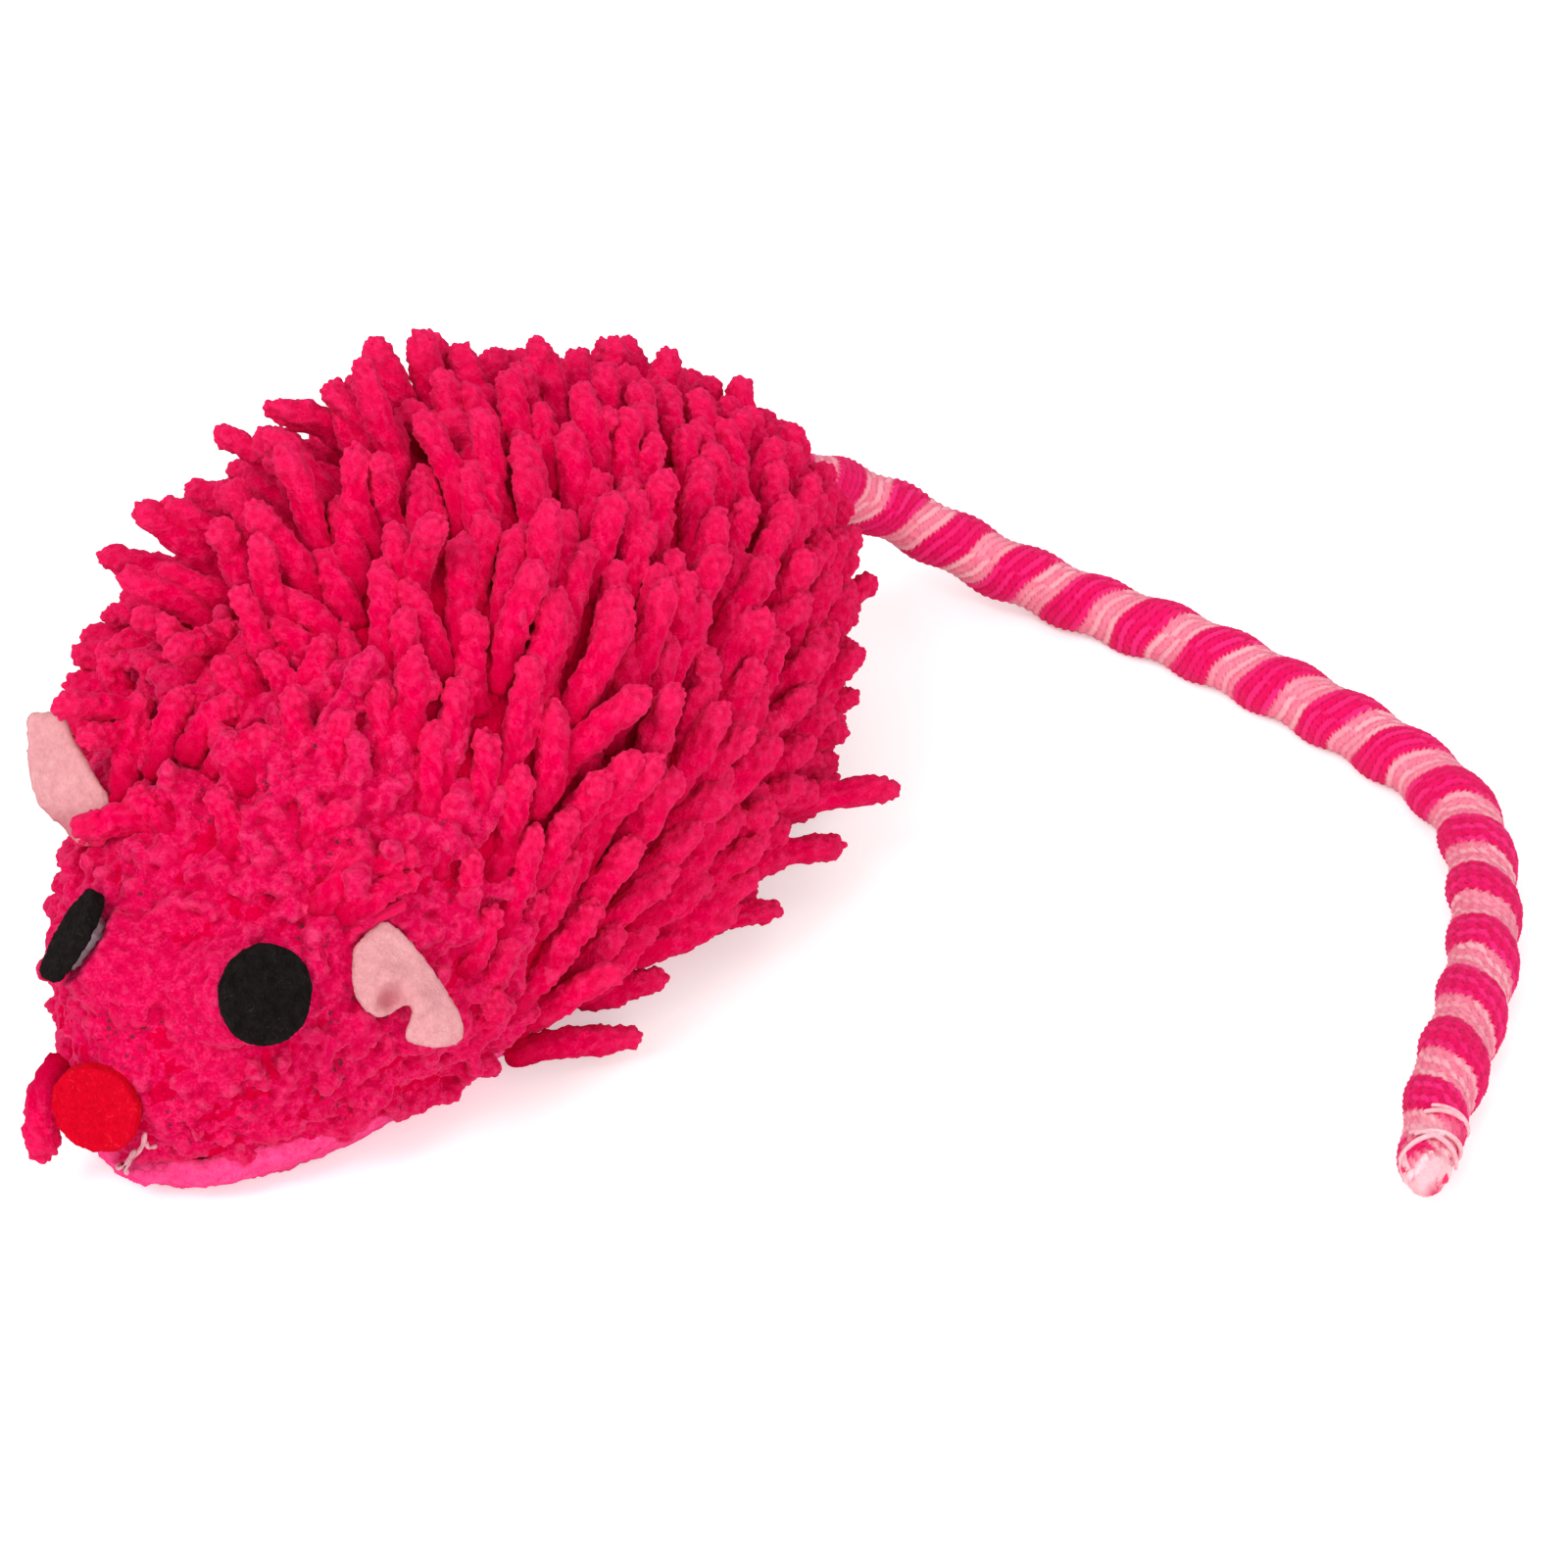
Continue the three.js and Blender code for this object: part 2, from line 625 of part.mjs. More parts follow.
// Thread cup behind the tail's root
function tailTack() {
  const rim = tailRoot.y - (tailRadius + GAP) * Math.cos(radians(TAIL_TACK_HALF_ANGLE));
  return ball(tailRoot, tackOuter)
    .subtract(ball(tailRoot, tailRadius + GAP))
    .intersect(block({ rear: rim }));
}

// The mouse
const mouse = new THREE.Group();

function addPiece(name, shape, color, roughness) {
  const geometry = shape.isBufferGeometry ? shape : toGeometry(shape);
  const mesh = new THREE.Mesh(geometry, new THREE.MeshStandardMaterial({ color, roughness, metalness: 0 }));
  mesh.name = name;
  mouse.add(mesh);
  return mesh;
}

const CHENILLE_PINK = 0xe0174f;
const VELOUR_PINK = 0xf95092;
const FIBRE_WHITE = 0xf2efe8;
const THREAD_PINK = 0xd01850;
const CALICO = 0xe6dcc6;
const HERB_GREEN = 0x6f7a4a;
const FELT_BLACK = 0x1c1817;
const FELT_RED = 0xe80929;
const FELT_PALE_PINK = 0xf6b6c0;
const GLUE_CLEAR = 0xe9d9dc;
const TAIL_PINK = 0xf0608c;
const YARN_WHITE = 0xf4dfe4;

addPiece('cover_left', cover(1), CHENILLE_PINK, 0.95);
addPiece('cover_right', cover(-1), CHENILLE_PINK, 0.95);
addPiece('base_panel', basePanel(), VELOUR_PINK, 0.9);
addPiece('back_seam', backSeam(), THREAD_PINK, 0.8);
addPiece('base_seam', baseSeam(), THREAD_PINK, 0.8);
addPiece('stuffing', stuffing(), FIBRE_WHITE, 1);
addPiece('catnip_pouch', catnipPouch(), CALICO, 0.95);
addPiece('catnip', pillow(POUCH_WALL + GAP), HERB_GREEN, 1);

for (const [name, setting, side] of [['left', EYE_LEFT, 1], ['right', EYE_RIGHT, -1]]) {
  const frame = eyeFrame(setting, side);
  addPiece(`eye_${name}`, disc(EYE_DIAMETER), FELT_BLACK, 0.95).applyMatrix4(frame);
  addPiece(`eye_glue_${name}`, glue(EYE_DIAMETER, setting.standoff, frame), GLUE_CLEAR, 0.3);
}
addPiece('nose', disc(NOSE_DIAMETER), FELT_RED, 0.95).applyMatrix4(noseFrame);
addPiece('nose_glue', glue(NOSE_DIAMETER, NOSE_STANDOFF, noseFrame), GLUE_CLEAR, 0.3);

for (const [name, setting, side] of [['left', EAR_LEFT, 1], ['right', EAR_RIGHT, -1]]) {
  const place = earPlace(setting, side);
  addPiece(`ear_${name}`, ear(place, side), FELT_PALE_PINK, 0.95);
  addPiece(`ear_stitch_${name}`, earStitch(place), THREAD_PINK, 0.8);
}

addPiece('tail_tack', tailTack(), THREAD_PINK, 0.8);
addPiece('tail_root_sleeve', tailRootSleeve(), TAIL_PINK, 0.9);
addPiece('tail_root_core', tailTube(0, TAIL_BEND_AT - tailRadius - 2 * GAP, coreRadius), YARN_WHITE, 0.95);
addPiece('tail_tip_sleeve', tailTipSleeve(), TAIL_PINK, 0.9);
addPiece('tail_tip_core', tailTipCore(), YARN_WHITE, 0.95);
addPiece('tail_end_glue', tailEndGlue(), GLUE_CLEAR, 0.3);

export default mouse;
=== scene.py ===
# %% [markdown]
# # A catnip mouse
# The toy is a stuffed teardrop in a knitted cloth that is covered with thick chenille fingers. On the face
# the same cloth is trimmed short. It has a flat velour base, felt eyes, nose and ears, and a striped
# knitted tail. The frame that is loaded here holds its rigid bodies and joints. This lesson dresses them.

# %% Load the frame
import math

import bpy
import numpy as np
from mathutils import Matrix, Vector


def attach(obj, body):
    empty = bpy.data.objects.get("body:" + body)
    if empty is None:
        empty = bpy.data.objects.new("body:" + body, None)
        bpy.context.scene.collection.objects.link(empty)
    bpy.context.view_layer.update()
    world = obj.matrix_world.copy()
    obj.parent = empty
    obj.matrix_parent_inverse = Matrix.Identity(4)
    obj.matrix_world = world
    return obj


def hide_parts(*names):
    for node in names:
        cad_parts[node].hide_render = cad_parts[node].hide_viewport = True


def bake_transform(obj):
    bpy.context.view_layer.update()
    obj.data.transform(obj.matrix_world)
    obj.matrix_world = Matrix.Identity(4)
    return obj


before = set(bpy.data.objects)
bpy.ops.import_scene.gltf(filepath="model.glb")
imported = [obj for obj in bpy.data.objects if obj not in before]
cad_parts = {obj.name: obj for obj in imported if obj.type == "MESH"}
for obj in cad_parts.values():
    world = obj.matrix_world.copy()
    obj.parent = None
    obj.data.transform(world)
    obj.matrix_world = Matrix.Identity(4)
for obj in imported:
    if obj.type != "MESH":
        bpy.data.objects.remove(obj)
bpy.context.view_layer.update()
MM = 0.001
bpy.context.scene.view_settings.view_transform = "Standard"

# %% [markdown]
# ## Camera
# The photograph looks down on the mouse from its left front. A long lens at a fixed place gives the same
# gentle perspective. The camera is turned by three axes instead of by angles, because the same axes
# also say where a point of the object falls in the picture.

# %% Camera
CAMERA_AZIMUTH = math.radians(32)
CAMERA_ELEVATION = math.radians(34.5)
CAMERA_PLACE = Vector((204.07, -263.44, 243.24)) * MM
CAMERA_LENS = 87.75

level = math.cos(CAMERA_ELEVATION)
to_camera = Vector((
    math.sin(CAMERA_AZIMUTH) * level,
    -math.cos(CAMERA_AZIMUTH) * level,
    math.sin(CAMERA_ELEVATION),
))
picture_right = Vector((math.cos(CAMERA_AZIMUTH), math.sin(CAMERA_AZIMUTH), 0))
picture_up = to_camera.cross(picture_right)
turn = Matrix((picture_right, picture_up, to_camera)).transposed()

bpy.ops.object.select_all(action="DESELECT")
bpy.ops.object.camera_add(location=CAMERA_PLACE, rotation=turn.to_euler())
camera = bpy.context.object
camera.name = "camera"
camera.data.lens = CAMERA_LENS
camera.data.sensor_width = 36
bpy.context.scene.camera = camera
print("camera at", [round(value, 3) for value in camera.location])

# %% [markdown]
# ## Shader helpers
# Every finish below is a small tree of nodes. One helper adds a node and fills its sockets, with a number
# or with a link, so each material reads as a list of what it is made of.

# %% Shader helpers
def add_node(tree, kind, sockets=None, **settings):
    made = tree.nodes.new(kind)
    for name, value in settings.items():
        setattr(made, name, value)
    for name, value in (sockets or {}).items():
        if isinstance(value, bpy.types.NodeSocket):
            tree.links.new(value, made.inputs[name])
        else:
            made.inputs[name].default_value = value
    return made


def mix_colours(tree, factor, first, second):
    sockets = {0: factor, 6: first, 7: second}
    return add_node(tree, "ShaderNodeMix", sockets, data_type="RGBA").outputs[2]


def stretch(tree, value, low, high, start=0.0, end=1.0):
    sockets = {0: value, 1: low, 2: high, 3: start, 4: end}
    return add_node(tree, "ShaderNodeMapRange", sockets).outputs[0]


def tint(tree, colour, tone, mask, low, high, share=1.0):
    """Mix a share of the tone into the colour as the mask goes from low to high"""
    return mix_colours(tree, stretch(tree, mask, low, high, 0, share), colour, (*tone, 1))


def attribute(tree, name):
    return add_node(tree, "ShaderNodeAttribute", attribute_name=name).outputs["Fac"]


def new_material(name):
    made = bpy.data.materials.new(name)
    made.use_nodes = True
    return made, made.node_tree, made.node_tree.nodes["Principled BSDF"]


SHORT_NAMES = {"specular": "Specular IOR Level", "ior": "IOR"}


def set_finish(shader, **values):
    for name, value in values.items():
        socket = SHORT_NAMES.get(name, name.replace("_", " ").title())
        shader.inputs[socket].default_value = value


print("short socket names", sorted(SHORT_NAMES))

# %% [markdown]
# ## Pile
# Chenille, velour and felt are all pile: short fibres that stand in small clumps. A picture of cloth would
# blur close up and show its repeats, so two noises, one of the clumps and one of the fibres, give both the
# mottled colour and the height for a bump. They are built once as a node group, and each material places
# it with its own sizes and colours.

# %% Pile group
def make_pile_group():
    group = bpy.data.node_groups.new("pile", "ShaderNodeTree")
    for name, kind in (
        ("Shade", "NodeSocketColor"),
        ("Light", "NodeSocketColor"),
        ("Clump Scale", "NodeSocketFloat"),
        ("Fibre Scale", "NodeSocketFloat"),
        ("Stretch", "NodeSocketVector"),
    ):
        group.interface.new_socket(name, in_out="INPUT", socket_type=kind)
    group.interface.new_socket("Color", in_out="OUTPUT", socket_type="NodeSocketColor")
    group.interface.new_socket("Height", in_out="OUTPUT", socket_type="NodeSocketFloat")
    given = add_node(group, "NodeGroupInput").outputs
    place = add_node(group, "ShaderNodeTexCoord").outputs["Object"]
    drawn = add_node(group, "ShaderNodeVectorMath", {0: place, 1: given["Stretch"]}, operation="MULTIPLY")
    coarse = {"Vector": place, "Scale": given["Clump Scale"], "Detail": 3.0}
    clumps = add_node(group, "ShaderNodeTexNoise", coarse).outputs["Fac"]
    fine = {"Vector": drawn.outputs[0], "Scale": given["Fibre Scale"], "Detail": 4.0, "Roughness": 0.7}
    fibres = add_node(group, "ShaderNodeTexNoise", fine).outputs["Fac"]
    height = add_node(group, "ShaderNodeMath", {0: clumps, 1: fibres}, operation="ADD").outputs[0]
    light = stretch(group, height, 0.72, 1.28)
    colour = mix_colours(group, light, given["Shade"], given["Light"])
    result = add_node(group, "NodeGroupOutput")
    group.links.new(colour, result.inputs["Color"])
    group.links.new(height, result.inputs["Height"])
    return group


pile_group = make_pile_group()


def add_pile(tree, shade, light, clump_size, fibre_size, stretch_by=(1, 1, 1)):
    sockets = {"Shade": (*shade, 1), "Light": (*light, 1), "Stretch": stretch_by}
    sockets |= {"Clump Scale": 1 / clump_size, "Fibre Scale": 1 / fibre_size}
    made = add_node(tree, "ShaderNodeGroup", sockets, node_tree=pile_group)
    return made.outputs["Color"], made.outputs["Height"]


def cover_with(tree, shader, colour, height, depth, strength=1.0, **finish):
    """Link the pile's colour, and its height as a bump, and set the rest of the finish"""
    tree.links.new(colour, shader.inputs["Base Color"])
    sockets = {"Height": height, "Distance": depth, "Strength": strength}
    tree.links.new(add_node(tree, "ShaderNodeBump", sockets).outputs["Normal"], shader.inputs["Normal"])
    set_finish(shader, **finish)


print("group", pile_group.name)

# %% [markdown]
# ## Finishes
# The chenille is a saturated deep pink. Light that falls between the fingers comes back redder and darker
# by itself, so the colour only has to be right at the tips; an attribute called reach, 0 at a root and
# 1 at a tip, darkens the roots a little with painted shade and gives the tips a faint painted highlight.
# The peaks of the pile's noise and the places where the pile bulges get a painted highlight, parts seen at
# a slant a painted sheen, and hollows painted shade. Felt and velour are the same pile with finer fibres.

# %% Chenille
def make_chenille(name, shade, light, painted_shade, painted_sheen, net=None):
    made, tree, shader = new_material(name)
    colour, height = add_pile(tree, shade, light, clump_size=1.2 * MM, fibre_size=0.3 * MM)
    bulge = add_node(tree, "ShaderNodeNewGeometry").outputs["Pointiness"]
    rim = add_node(tree, "ShaderNodeLayerWeight", {"Blend": 0.5}).outputs["Facing"]
    reach = attribute(tree, "reach")
    # painted highlight on the peaks of the pile's noise
    colour = tint(tree, colour, painted_sheen, height, 1.02, 1.26, share=0.3)
    # painted highlight towards the fingertips
    colour = tint(tree, colour, painted_sheen, reach, 0.6, 1.0, share=0.25)
    # painted highlight where the pile bulges
    colour = tint(tree, colour, painted_sheen, bulge, 0.51, 0.6, share=0.5)
    # painted sheen where the pile is seen at a slant
    colour = tint(tree, colour, painted_sheen, rim, 0.45, 0.9, share=0.6)
    # painted shade in the pile's hollows
    colour = tint(tree, colour, painted_shade, bulge, 0.49, 0.42, share=0.9)
    if net:
        colour = mix_colours(tree, net_holes(tree, bulge), colour, (*net, 1))
    # painted shade at the roots of the fingers
    colour = mix_colours(tree, stretch(tree, reach, 0.05, 0.5), (*painted_shade, 1), colour)
    cover_with(tree, shader, colour, height, depth=0.4 * MM, roughness=1.0, specular=0.0)
    set_finish(shader, sheen_weight=0.05, sheen_roughness=0.35, sheen_tint=(1, 0.08, 0.26, 1))
    return made


def net_holes(tree, bulge):
    """Small holes, in hollows where the pile is thin and the net shows"""
    place = add_node(tree, "ShaderNodeTexCoord").outputs["Object"]
    cells = {"Vector": place, "Scale": 1 / (0.85 * MM), "Randomness": 0.5}
    hole = stretch(tree, add_node(tree, "ShaderNodeTexVoronoi", cells).outputs["Distance"], 0.36, 0.24)
    patches = {"Vector": place, "Scale": 1 / (6 * MM), "Detail": 1.0}
    thin = stretch(tree, add_node(tree, "ShaderNodeTexNoise", patches).outputs["Fac"], 0.5, 0.56)
    hollow = stretch(tree, bulge, 0.51, 0.47)
    shown = add_node(tree, "ShaderNodeMath", {0: hole, 1: thin}, operation="MULTIPLY").outputs[0]
    return add_node(tree, "ShaderNodeMath", {0: shown, 1: hollow}, operation="MULTIPLY").outputs[0]


# Colours: the pile's shade and light, the painted shade of roots and hollows, and the painted sheen
finger_pile = make_chenille(
    "finger_pile", (0.79, 0.0, 0.06), (1.0, 0.0, 0.1), (0.62, 0.0, 0.04), (0.98, 0.05, 0.19))
face_pile = make_chenille(
    "face_pile", (0.72, 0.001, 0.066), (0.92, 0.006, 0.118), (0.56, 0.0, 0.04), (0.95, 0.075, 0.22),
    net=(0.22, 0.02, 0.04))
print("chenille", finger_pile.name, face_pile.name)

# %% Felt and velour
def make_felt(name, shade, light, sheen, fleck=None, fold=None):
    made, tree, shader = new_material(name)
    sizes = {"clump_size": 0.9 * MM, "fibre_size": 0.22 * MM, "stretch_by": (1, 1, 0.35)}
    colour, height = add_pile(tree, shade, light, **sizes)
    if fleck:
        place = add_node(tree, "ShaderNodeTexCoord").outputs["Object"]
        hairs = {"Vector": place, "Scale": 1 / (0.9 * MM), "Detail": 2.0, "Distortion": 2.5}
        hair = add_node(tree, "ShaderNodeTexNoise", hairs).outputs["Fac"]
        colour = tint(tree, colour, fleck, hair, 0.62, 0.72, share=0.5)
    # painted shade in an ear's pocket
    if fold:
        colour = mix_colours(tree, attribute(tree, "fold"), colour, (*fold, 1))
    cover_with(tree, shader, colour, height, depth=0.25 * MM, roughness=0.95, specular=0.03)
    set_finish(shader, sheen_weight=sheen, sheen_roughness=0.5, sheen_tint=(*light, 1))
    return made


velour = make_felt("velour", (0.92, 0.03, 0.2), (1.0, 0.1, 0.32), 0.1)
black_felt = make_felt("black_felt", (0.005, 0.004, 0.004), (0.014, 0.011, 0.01), 0.03, (0.04, 0.035, 0.03))
red_felt = make_felt("red_felt", (0.54, 0.0, 0.01), (0.69, 0.001, 0.02), 0.02, (0.77, 0.03, 0.04))
# The pink felt's last colour is the painted shade of the ear's pocket
pink_felt = make_felt("pink_felt", (0.64, 0.26, 0.285), (0.77, 0.37, 0.385), 0.06, fold=(0.62, 0.19, 0.225))
print("felts", velour.name, black_felt.name, red_felt.name, pink_felt.name)

# %% [markdown]
# ### Cloth, glue, thread and fill
# The plain finishes share one recipe: pile colours, a bump and a few constants. Glue lets part of the light
# through, and the glue at the tail's end is clouded by the yarn inside it. The solids that stay in the
# frame, such as seams and fill, get their finishes here too.

# %% Cloth, glue, thread and fill
def make_plain(name, shade, light, clump, fibre, depth, strength=1.0, drawn=(1, 1, 1), **finish):
    """Pile colours, a bump and constants; the sizes are in millimetres"""
    made, tree, shader = new_material(name)
    colour, height = add_pile(tree, shade, light, clump * MM, fibre * MM, drawn)
    cover_with(tree, shader, colour, height, depth * MM, strength, **finish)
    return made


def make_glue(name, shade, light):
    sizes = {"clump": 2, "fibre": 0.5, "depth": 0.15, "strength": 0.5}
    clear = {"roughness": 0.28, "transmission_weight": 0.55, "ior": 1.45}
    return make_plain(name, shade, light, **sizes, **clear)


def make_yarn(name, shade, light, drawn):
    sizes = {"clump": 1.5, "fibre": 0.25, "depth": 0.25, "drawn": drawn}
    soft = {"roughness": 0.95, "specular": 0.05, "sheen_weight": 0.05}
    return make_plain(name, shade, light, **sizes, **soft)


def make_cloudy_glue():
    made, tree, shader = new_material("cloudy_glue")
    sizes = {"clump_size": 2 * MM, "fibre_size": 0.4 * MM}
    colour, height = add_pile(tree, (0.9, 0.42, 0.48), (0.97, 0.6, 0.64), **sizes)
    place = add_node(tree, "ShaderNodeTexCoord").outputs["Object"]
    cells = {"Vector": place, "Scale": 1 / (2.4 * MM), "Randomness": 1.0}
    yarn = add_node(tree, "ShaderNodeTexVoronoi", cells).outputs["Distance"]
    colour = tint(tree, colour, (0.72, 0.004, 0.09), yarn, 0.34, 0.24)
    cover_with(tree, shader, colour, height, depth=0.15 * MM, strength=0.5, roughness=0.5, ior=1.45)
    return made


print("materials so far", len(bpy.data.materials))

# %% Plain finishes
backing_net = make_plain(
    "backing_net", (0.7, 0.0, 0.03), (0.92, 0.0, 0.07),
    clump=1.2, fibre=0.3, depth=0.5, roughness=1.0, specular=0.0)
hot_glue = make_glue("hot_glue", (0.42, 0.2, 0.28), (0.7, 0.5, 0.58))
string_glue = make_glue("string_glue", (0.74, 0.24, 0.32), (0.96, 0.62, 0.68))
cloudy_glue = make_cloudy_glue()
pale_yarn = make_yarn("pale_yarn", (0.93, 0.36, 0.43), (1.0, 0.6, 0.64), (1, 0.2, 1))
pink_thread = make_yarn("pink_thread", (0.72, 0.003, 0.075), (0.88, 0.007, 0.115), (1, 0.2, 1))
fibre_fill = make_yarn("fibre_fill", (0.72, 0.7, 0.66), (0.92, 0.91, 0.88), (1, 1, 1))
calico = make_yarn("calico", (0.6, 0.52, 0.4), (0.82, 0.75, 0.62), (1, 0.3, 1))
dried_herb = make_yarn("dried_herb", (0.09, 0.1, 0.03), (0.24, 0.26, 0.1), (1, 1, 0.4))
core_yarn = make_yarn("core_yarn", (0.75, 0.55, 0.6), (0.93, 0.82, 0.84), (1, 0.2, 1))

node_finish = {
    "back_seam": pink_thread, "base_seam": pink_thread, "tail_tack": pink_thread,
    "ear_stitch_left": pink_thread, "ear_stitch_right": pink_thread,
    "stuffing": fibre_fill, "catnip_pouch": calico, "catnip": dried_herb,
    "eye_glue_left": hot_glue, "eye_glue_right": hot_glue, "nose_glue": hot_glue,
    "tail_root_core": core_yarn, "tail_tip_core": core_yarn,
}
for name, finish in node_finish.items():
    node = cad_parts[name]
    node.data.materials.clear()
    node.data.materials.append(finish)
print("kept nodes", len(node_finish))

# %% [markdown]
# ## Modelling helpers
# Operators act on the selection, so everything is deselected before a piece is started. A modifier is added
# and applied in one step, and a piece rides on a body of the frame as soon as its mesh is final.

# %% Modelling helpers
def only(piece):
    bpy.ops.object.select_all(action="DESELECT")
    piece.select_set(True)
    bpy.context.view_layer.objects.active = piece


def apply_modifier(piece, kind, **settings):
    modifier = piece.modifiers.new(kind.lower(), kind)
    for name, value in settings.items():
        setattr(modifier, name, value)
    only(piece)
    bpy.ops.object.modifier_apply(modifier=modifier.name)


def subdivide(piece, levels, plain=False):
    kind = "SIMPLE" if plain else "CATMULL_CLARK"
    apply_modifier(piece, "SUBSURF", levels=levels, render_levels=levels, subdivision_type=kind)


def displace(piece, size, height, middle, depth, basis):
    texture = bpy.data.textures.new(f"{piece.name}_{size / MM:g}", "CLOUDS")
    texture.noise_basis = basis
    texture.noise_scale = size
    texture.noise_depth = depth
    settings = {"texture_coords": "LOCAL", "strength": height, "mid_level": middle}
    apply_modifier(piece, "DISPLACE", texture=texture, **settings)


def roughen(piece, size, height):
    displace(piece, size, height, 0.5, 2, "BLENDER_ORIGINAL")


def granulate(piece, size, height):
    """Rounded grains, from the distance to the nearest of many scattered points"""
    displace(piece, size, -height, 0.45, 0, "VORONOI_F1")


# %% Meshes and pieces
def mesh_piece(name, points, faces, finish):
    mesh = bpy.data.meshes.new(name)
    mesh.from_pydata([tuple(point) for point in points], [], [tuple(face) for face in faces])
    mesh.materials.append(finish)
    piece = bpy.data.objects.new(name, mesh)
    bpy.context.scene.collection.objects.link(piece)
    return piece


def give_attribute(piece, name, values):
    layer = piece.data.attributes.new(name, "FLOAT", "POINT")
    layer.data.foreach_set("value", np.asarray(values, dtype=np.float32))


MERGE_WITHIN = 0.01 * MM


def mend(piece):
    """Merge doubles and turn all faces outwards"""
    only(piece)
    bpy.ops.object.mode_set(mode="EDIT")
    bpy.ops.mesh.select_all(action="SELECT")
    bpy.ops.mesh.remove_doubles(threshold=MERGE_WITHIN)
    bpy.ops.mesh.normals_make_consistent(inside=False)
    bpy.ops.object.mode_set(mode="OBJECT")


def grid_piece(name, rows, finish):
    """A sheet through rows of points"""
    rings = len(rows)
    columns = len(rows[0])
    first = np.arange(rings - 1)[:, None] * columns + np.arange(columns - 1)[None, :]
    faces = np.stack([first, first + columns, first + columns + 1, first + 1], -1).reshape(-1, 4)
    piece = mesh_piece(name, np.vstack(rows), faces.tolist(), finish)
    mend(piece)
    return piece


print("meshes so far", len(bpy.data.meshes))

# %% Selecting, moving and setting down
def select_where(piece, kind, fits):
    """Go into edit mode with only the edges or faces selected that fit"""
    bpy.ops.object.mode_set(mode="EDIT")
    bpy.ops.mesh.select_mode(type=kind)
    bpy.ops.mesh.select_all(action="DESELECT")
    bpy.ops.object.mode_set(mode="OBJECT")
    for part in piece.data.edges if kind == "EDGE" else piece.data.polygons:
        part.select = fits(part)
    bpy.ops.object.mode_set(mode="EDIT")


def mesh_points(piece):
    points = np.empty(len(piece.data.vertices) * 3)
    piece.data.vertices.foreach_get("co", points)
    return points.reshape(-1, 3)


def move_points(piece, points):
    piece.data.vertices.foreach_set("co", points.ravel())
    piece.data.update()


def smooth(piece):
    for face in piece.data.polygons:
        face.use_smooth = True


FLOOR_CLEARANCE = 0.05 * MM


def set_down(piece, body, slot, *nodes):
    """Keep a finished piece above the floor and hand it to its body"""
    smooth(piece)
    move_points(piece, np.maximum(mesh_points(piece), (-np.inf, -np.inf, FLOOR_CLEARANCE)))
    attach(piece, body)
    if nodes:
        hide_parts(*nodes)
    print(piece.name, "faces", len(piece.data.polygons), "on", body)


print("pieces stay", FLOOR_CLEARANCE / MM, "mm above the floor")

# %% [markdown]
# ## Tail
# The tail is one knitted cord with a striped helix. It leaves the rump, drops to the floor and lies there.
# Its route is the one that the model's solids follow, so the points are repeated here. A tube
# of fine rings along the route carries the knit as real relief: courses of yarn that wind round the cord.
# A bump would be lighter, but it would leave the cord's outline smooth.

# %% Tail route
TAIL_ROOT = np.array((0, 58.5, 22)) * MM
TAIL_REST_HEIGHT = 3.4 * MM
TAIL_DIAMETER = 6.6 * MM
TAIL_RING_GAP = 0.3 * MM
TAIL_ROUTE = (
    (0, 0, 1), (0.3, 4, 0.97), (1.2, 8.5, 0.86), (2.8, 13.2, 0.7), (6, 18, 0.5), (10.5, 21.3, 0.32),
    (16.5, 23.6, 0.15), (23.5, 24.8, 0.05), (31.6, 24.9, 0), (40, 24.2, 0), (48.5, 22.8, 0),
    (60.6, 19.8, 0), (70.6, 16.7, 0), (79, 13.1, 0), (85, 8.8, 0), (89.2, 3.4, 0), (92.4, -2.6, 0),
    (95.4, -9, 0), (98, -15.9, 0), (100.9, -26.6, 0), (102.8, -35.6, 0), (105.4, -45.6, 0),
    (107.5, -51.4, 0),
)


def unit(vectors):
    return vectors / np.linalg.norm(vectors, axis=-1, keepdims=True)


def arc_lengths(points):
    steps = np.linalg.norm(np.diff(points, axis=0), axis=1)
    return np.concatenate([[0], np.cumsum(steps)])


def smooth_line(points, spacing):
    """A centripetal Catmull-Rom line through the points, in equal steps"""
    padded = np.vstack([2 * points[0] - points[1], points, 2 * points[-1] - points[-2]])
    drawn = []
    for p0, p1, p2, p3 in zip(padded, padded[1:], padded[2:], padded[3:]):
        d0, d1, d2 = (math.sqrt(np.linalg.norm(b - a)) for a, b in ((p0, p1), (p1, p2), (p2, p3)))
        first = d1 * ((p1 - p0) / d0 - (p2 - p0) / (d0 + d1) + (p2 - p1) / d1)
        second = d1 * ((p2 - p1) / d1 - (p3 - p1) / (d1 + d2) + (p3 - p2) / d2)
        t = np.linspace(0, 1, 60, endpoint=False)[:, None]
        curve = (2 * p1 - 2 * p2 + first + second) * t**3 + (3 * p2 - 3 * p1 - 2 * first - second) * t**2
        drawn.append(curve + first * t + p1)
    line = np.vstack([*drawn, points[-1:]])
    travelled = arc_lengths(line)
    steps = np.linspace(0, travelled[-1], round(travelled[-1] / spacing) + 1)
    return np.stack([np.interp(steps, travelled, line[:, axis]) for axis in range(3)], 1), steps


route = np.array([
    (
        right * MM + TAIL_ROOT[0],
        back * MM + TAIL_ROOT[1],
        TAIL_REST_HEIGHT + share * (TAIL_ROOT[2] - TAIL_REST_HEIGHT),
    )
    for right, back, share in TAIL_ROUTE
])
tail_line, tail_steps = smooth_line(route, TAIL_RING_GAP)
TAIL_LENGTH = tail_steps[-1]
print("tail length", round(TAIL_LENGTH, 4), "rings", len(tail_line))

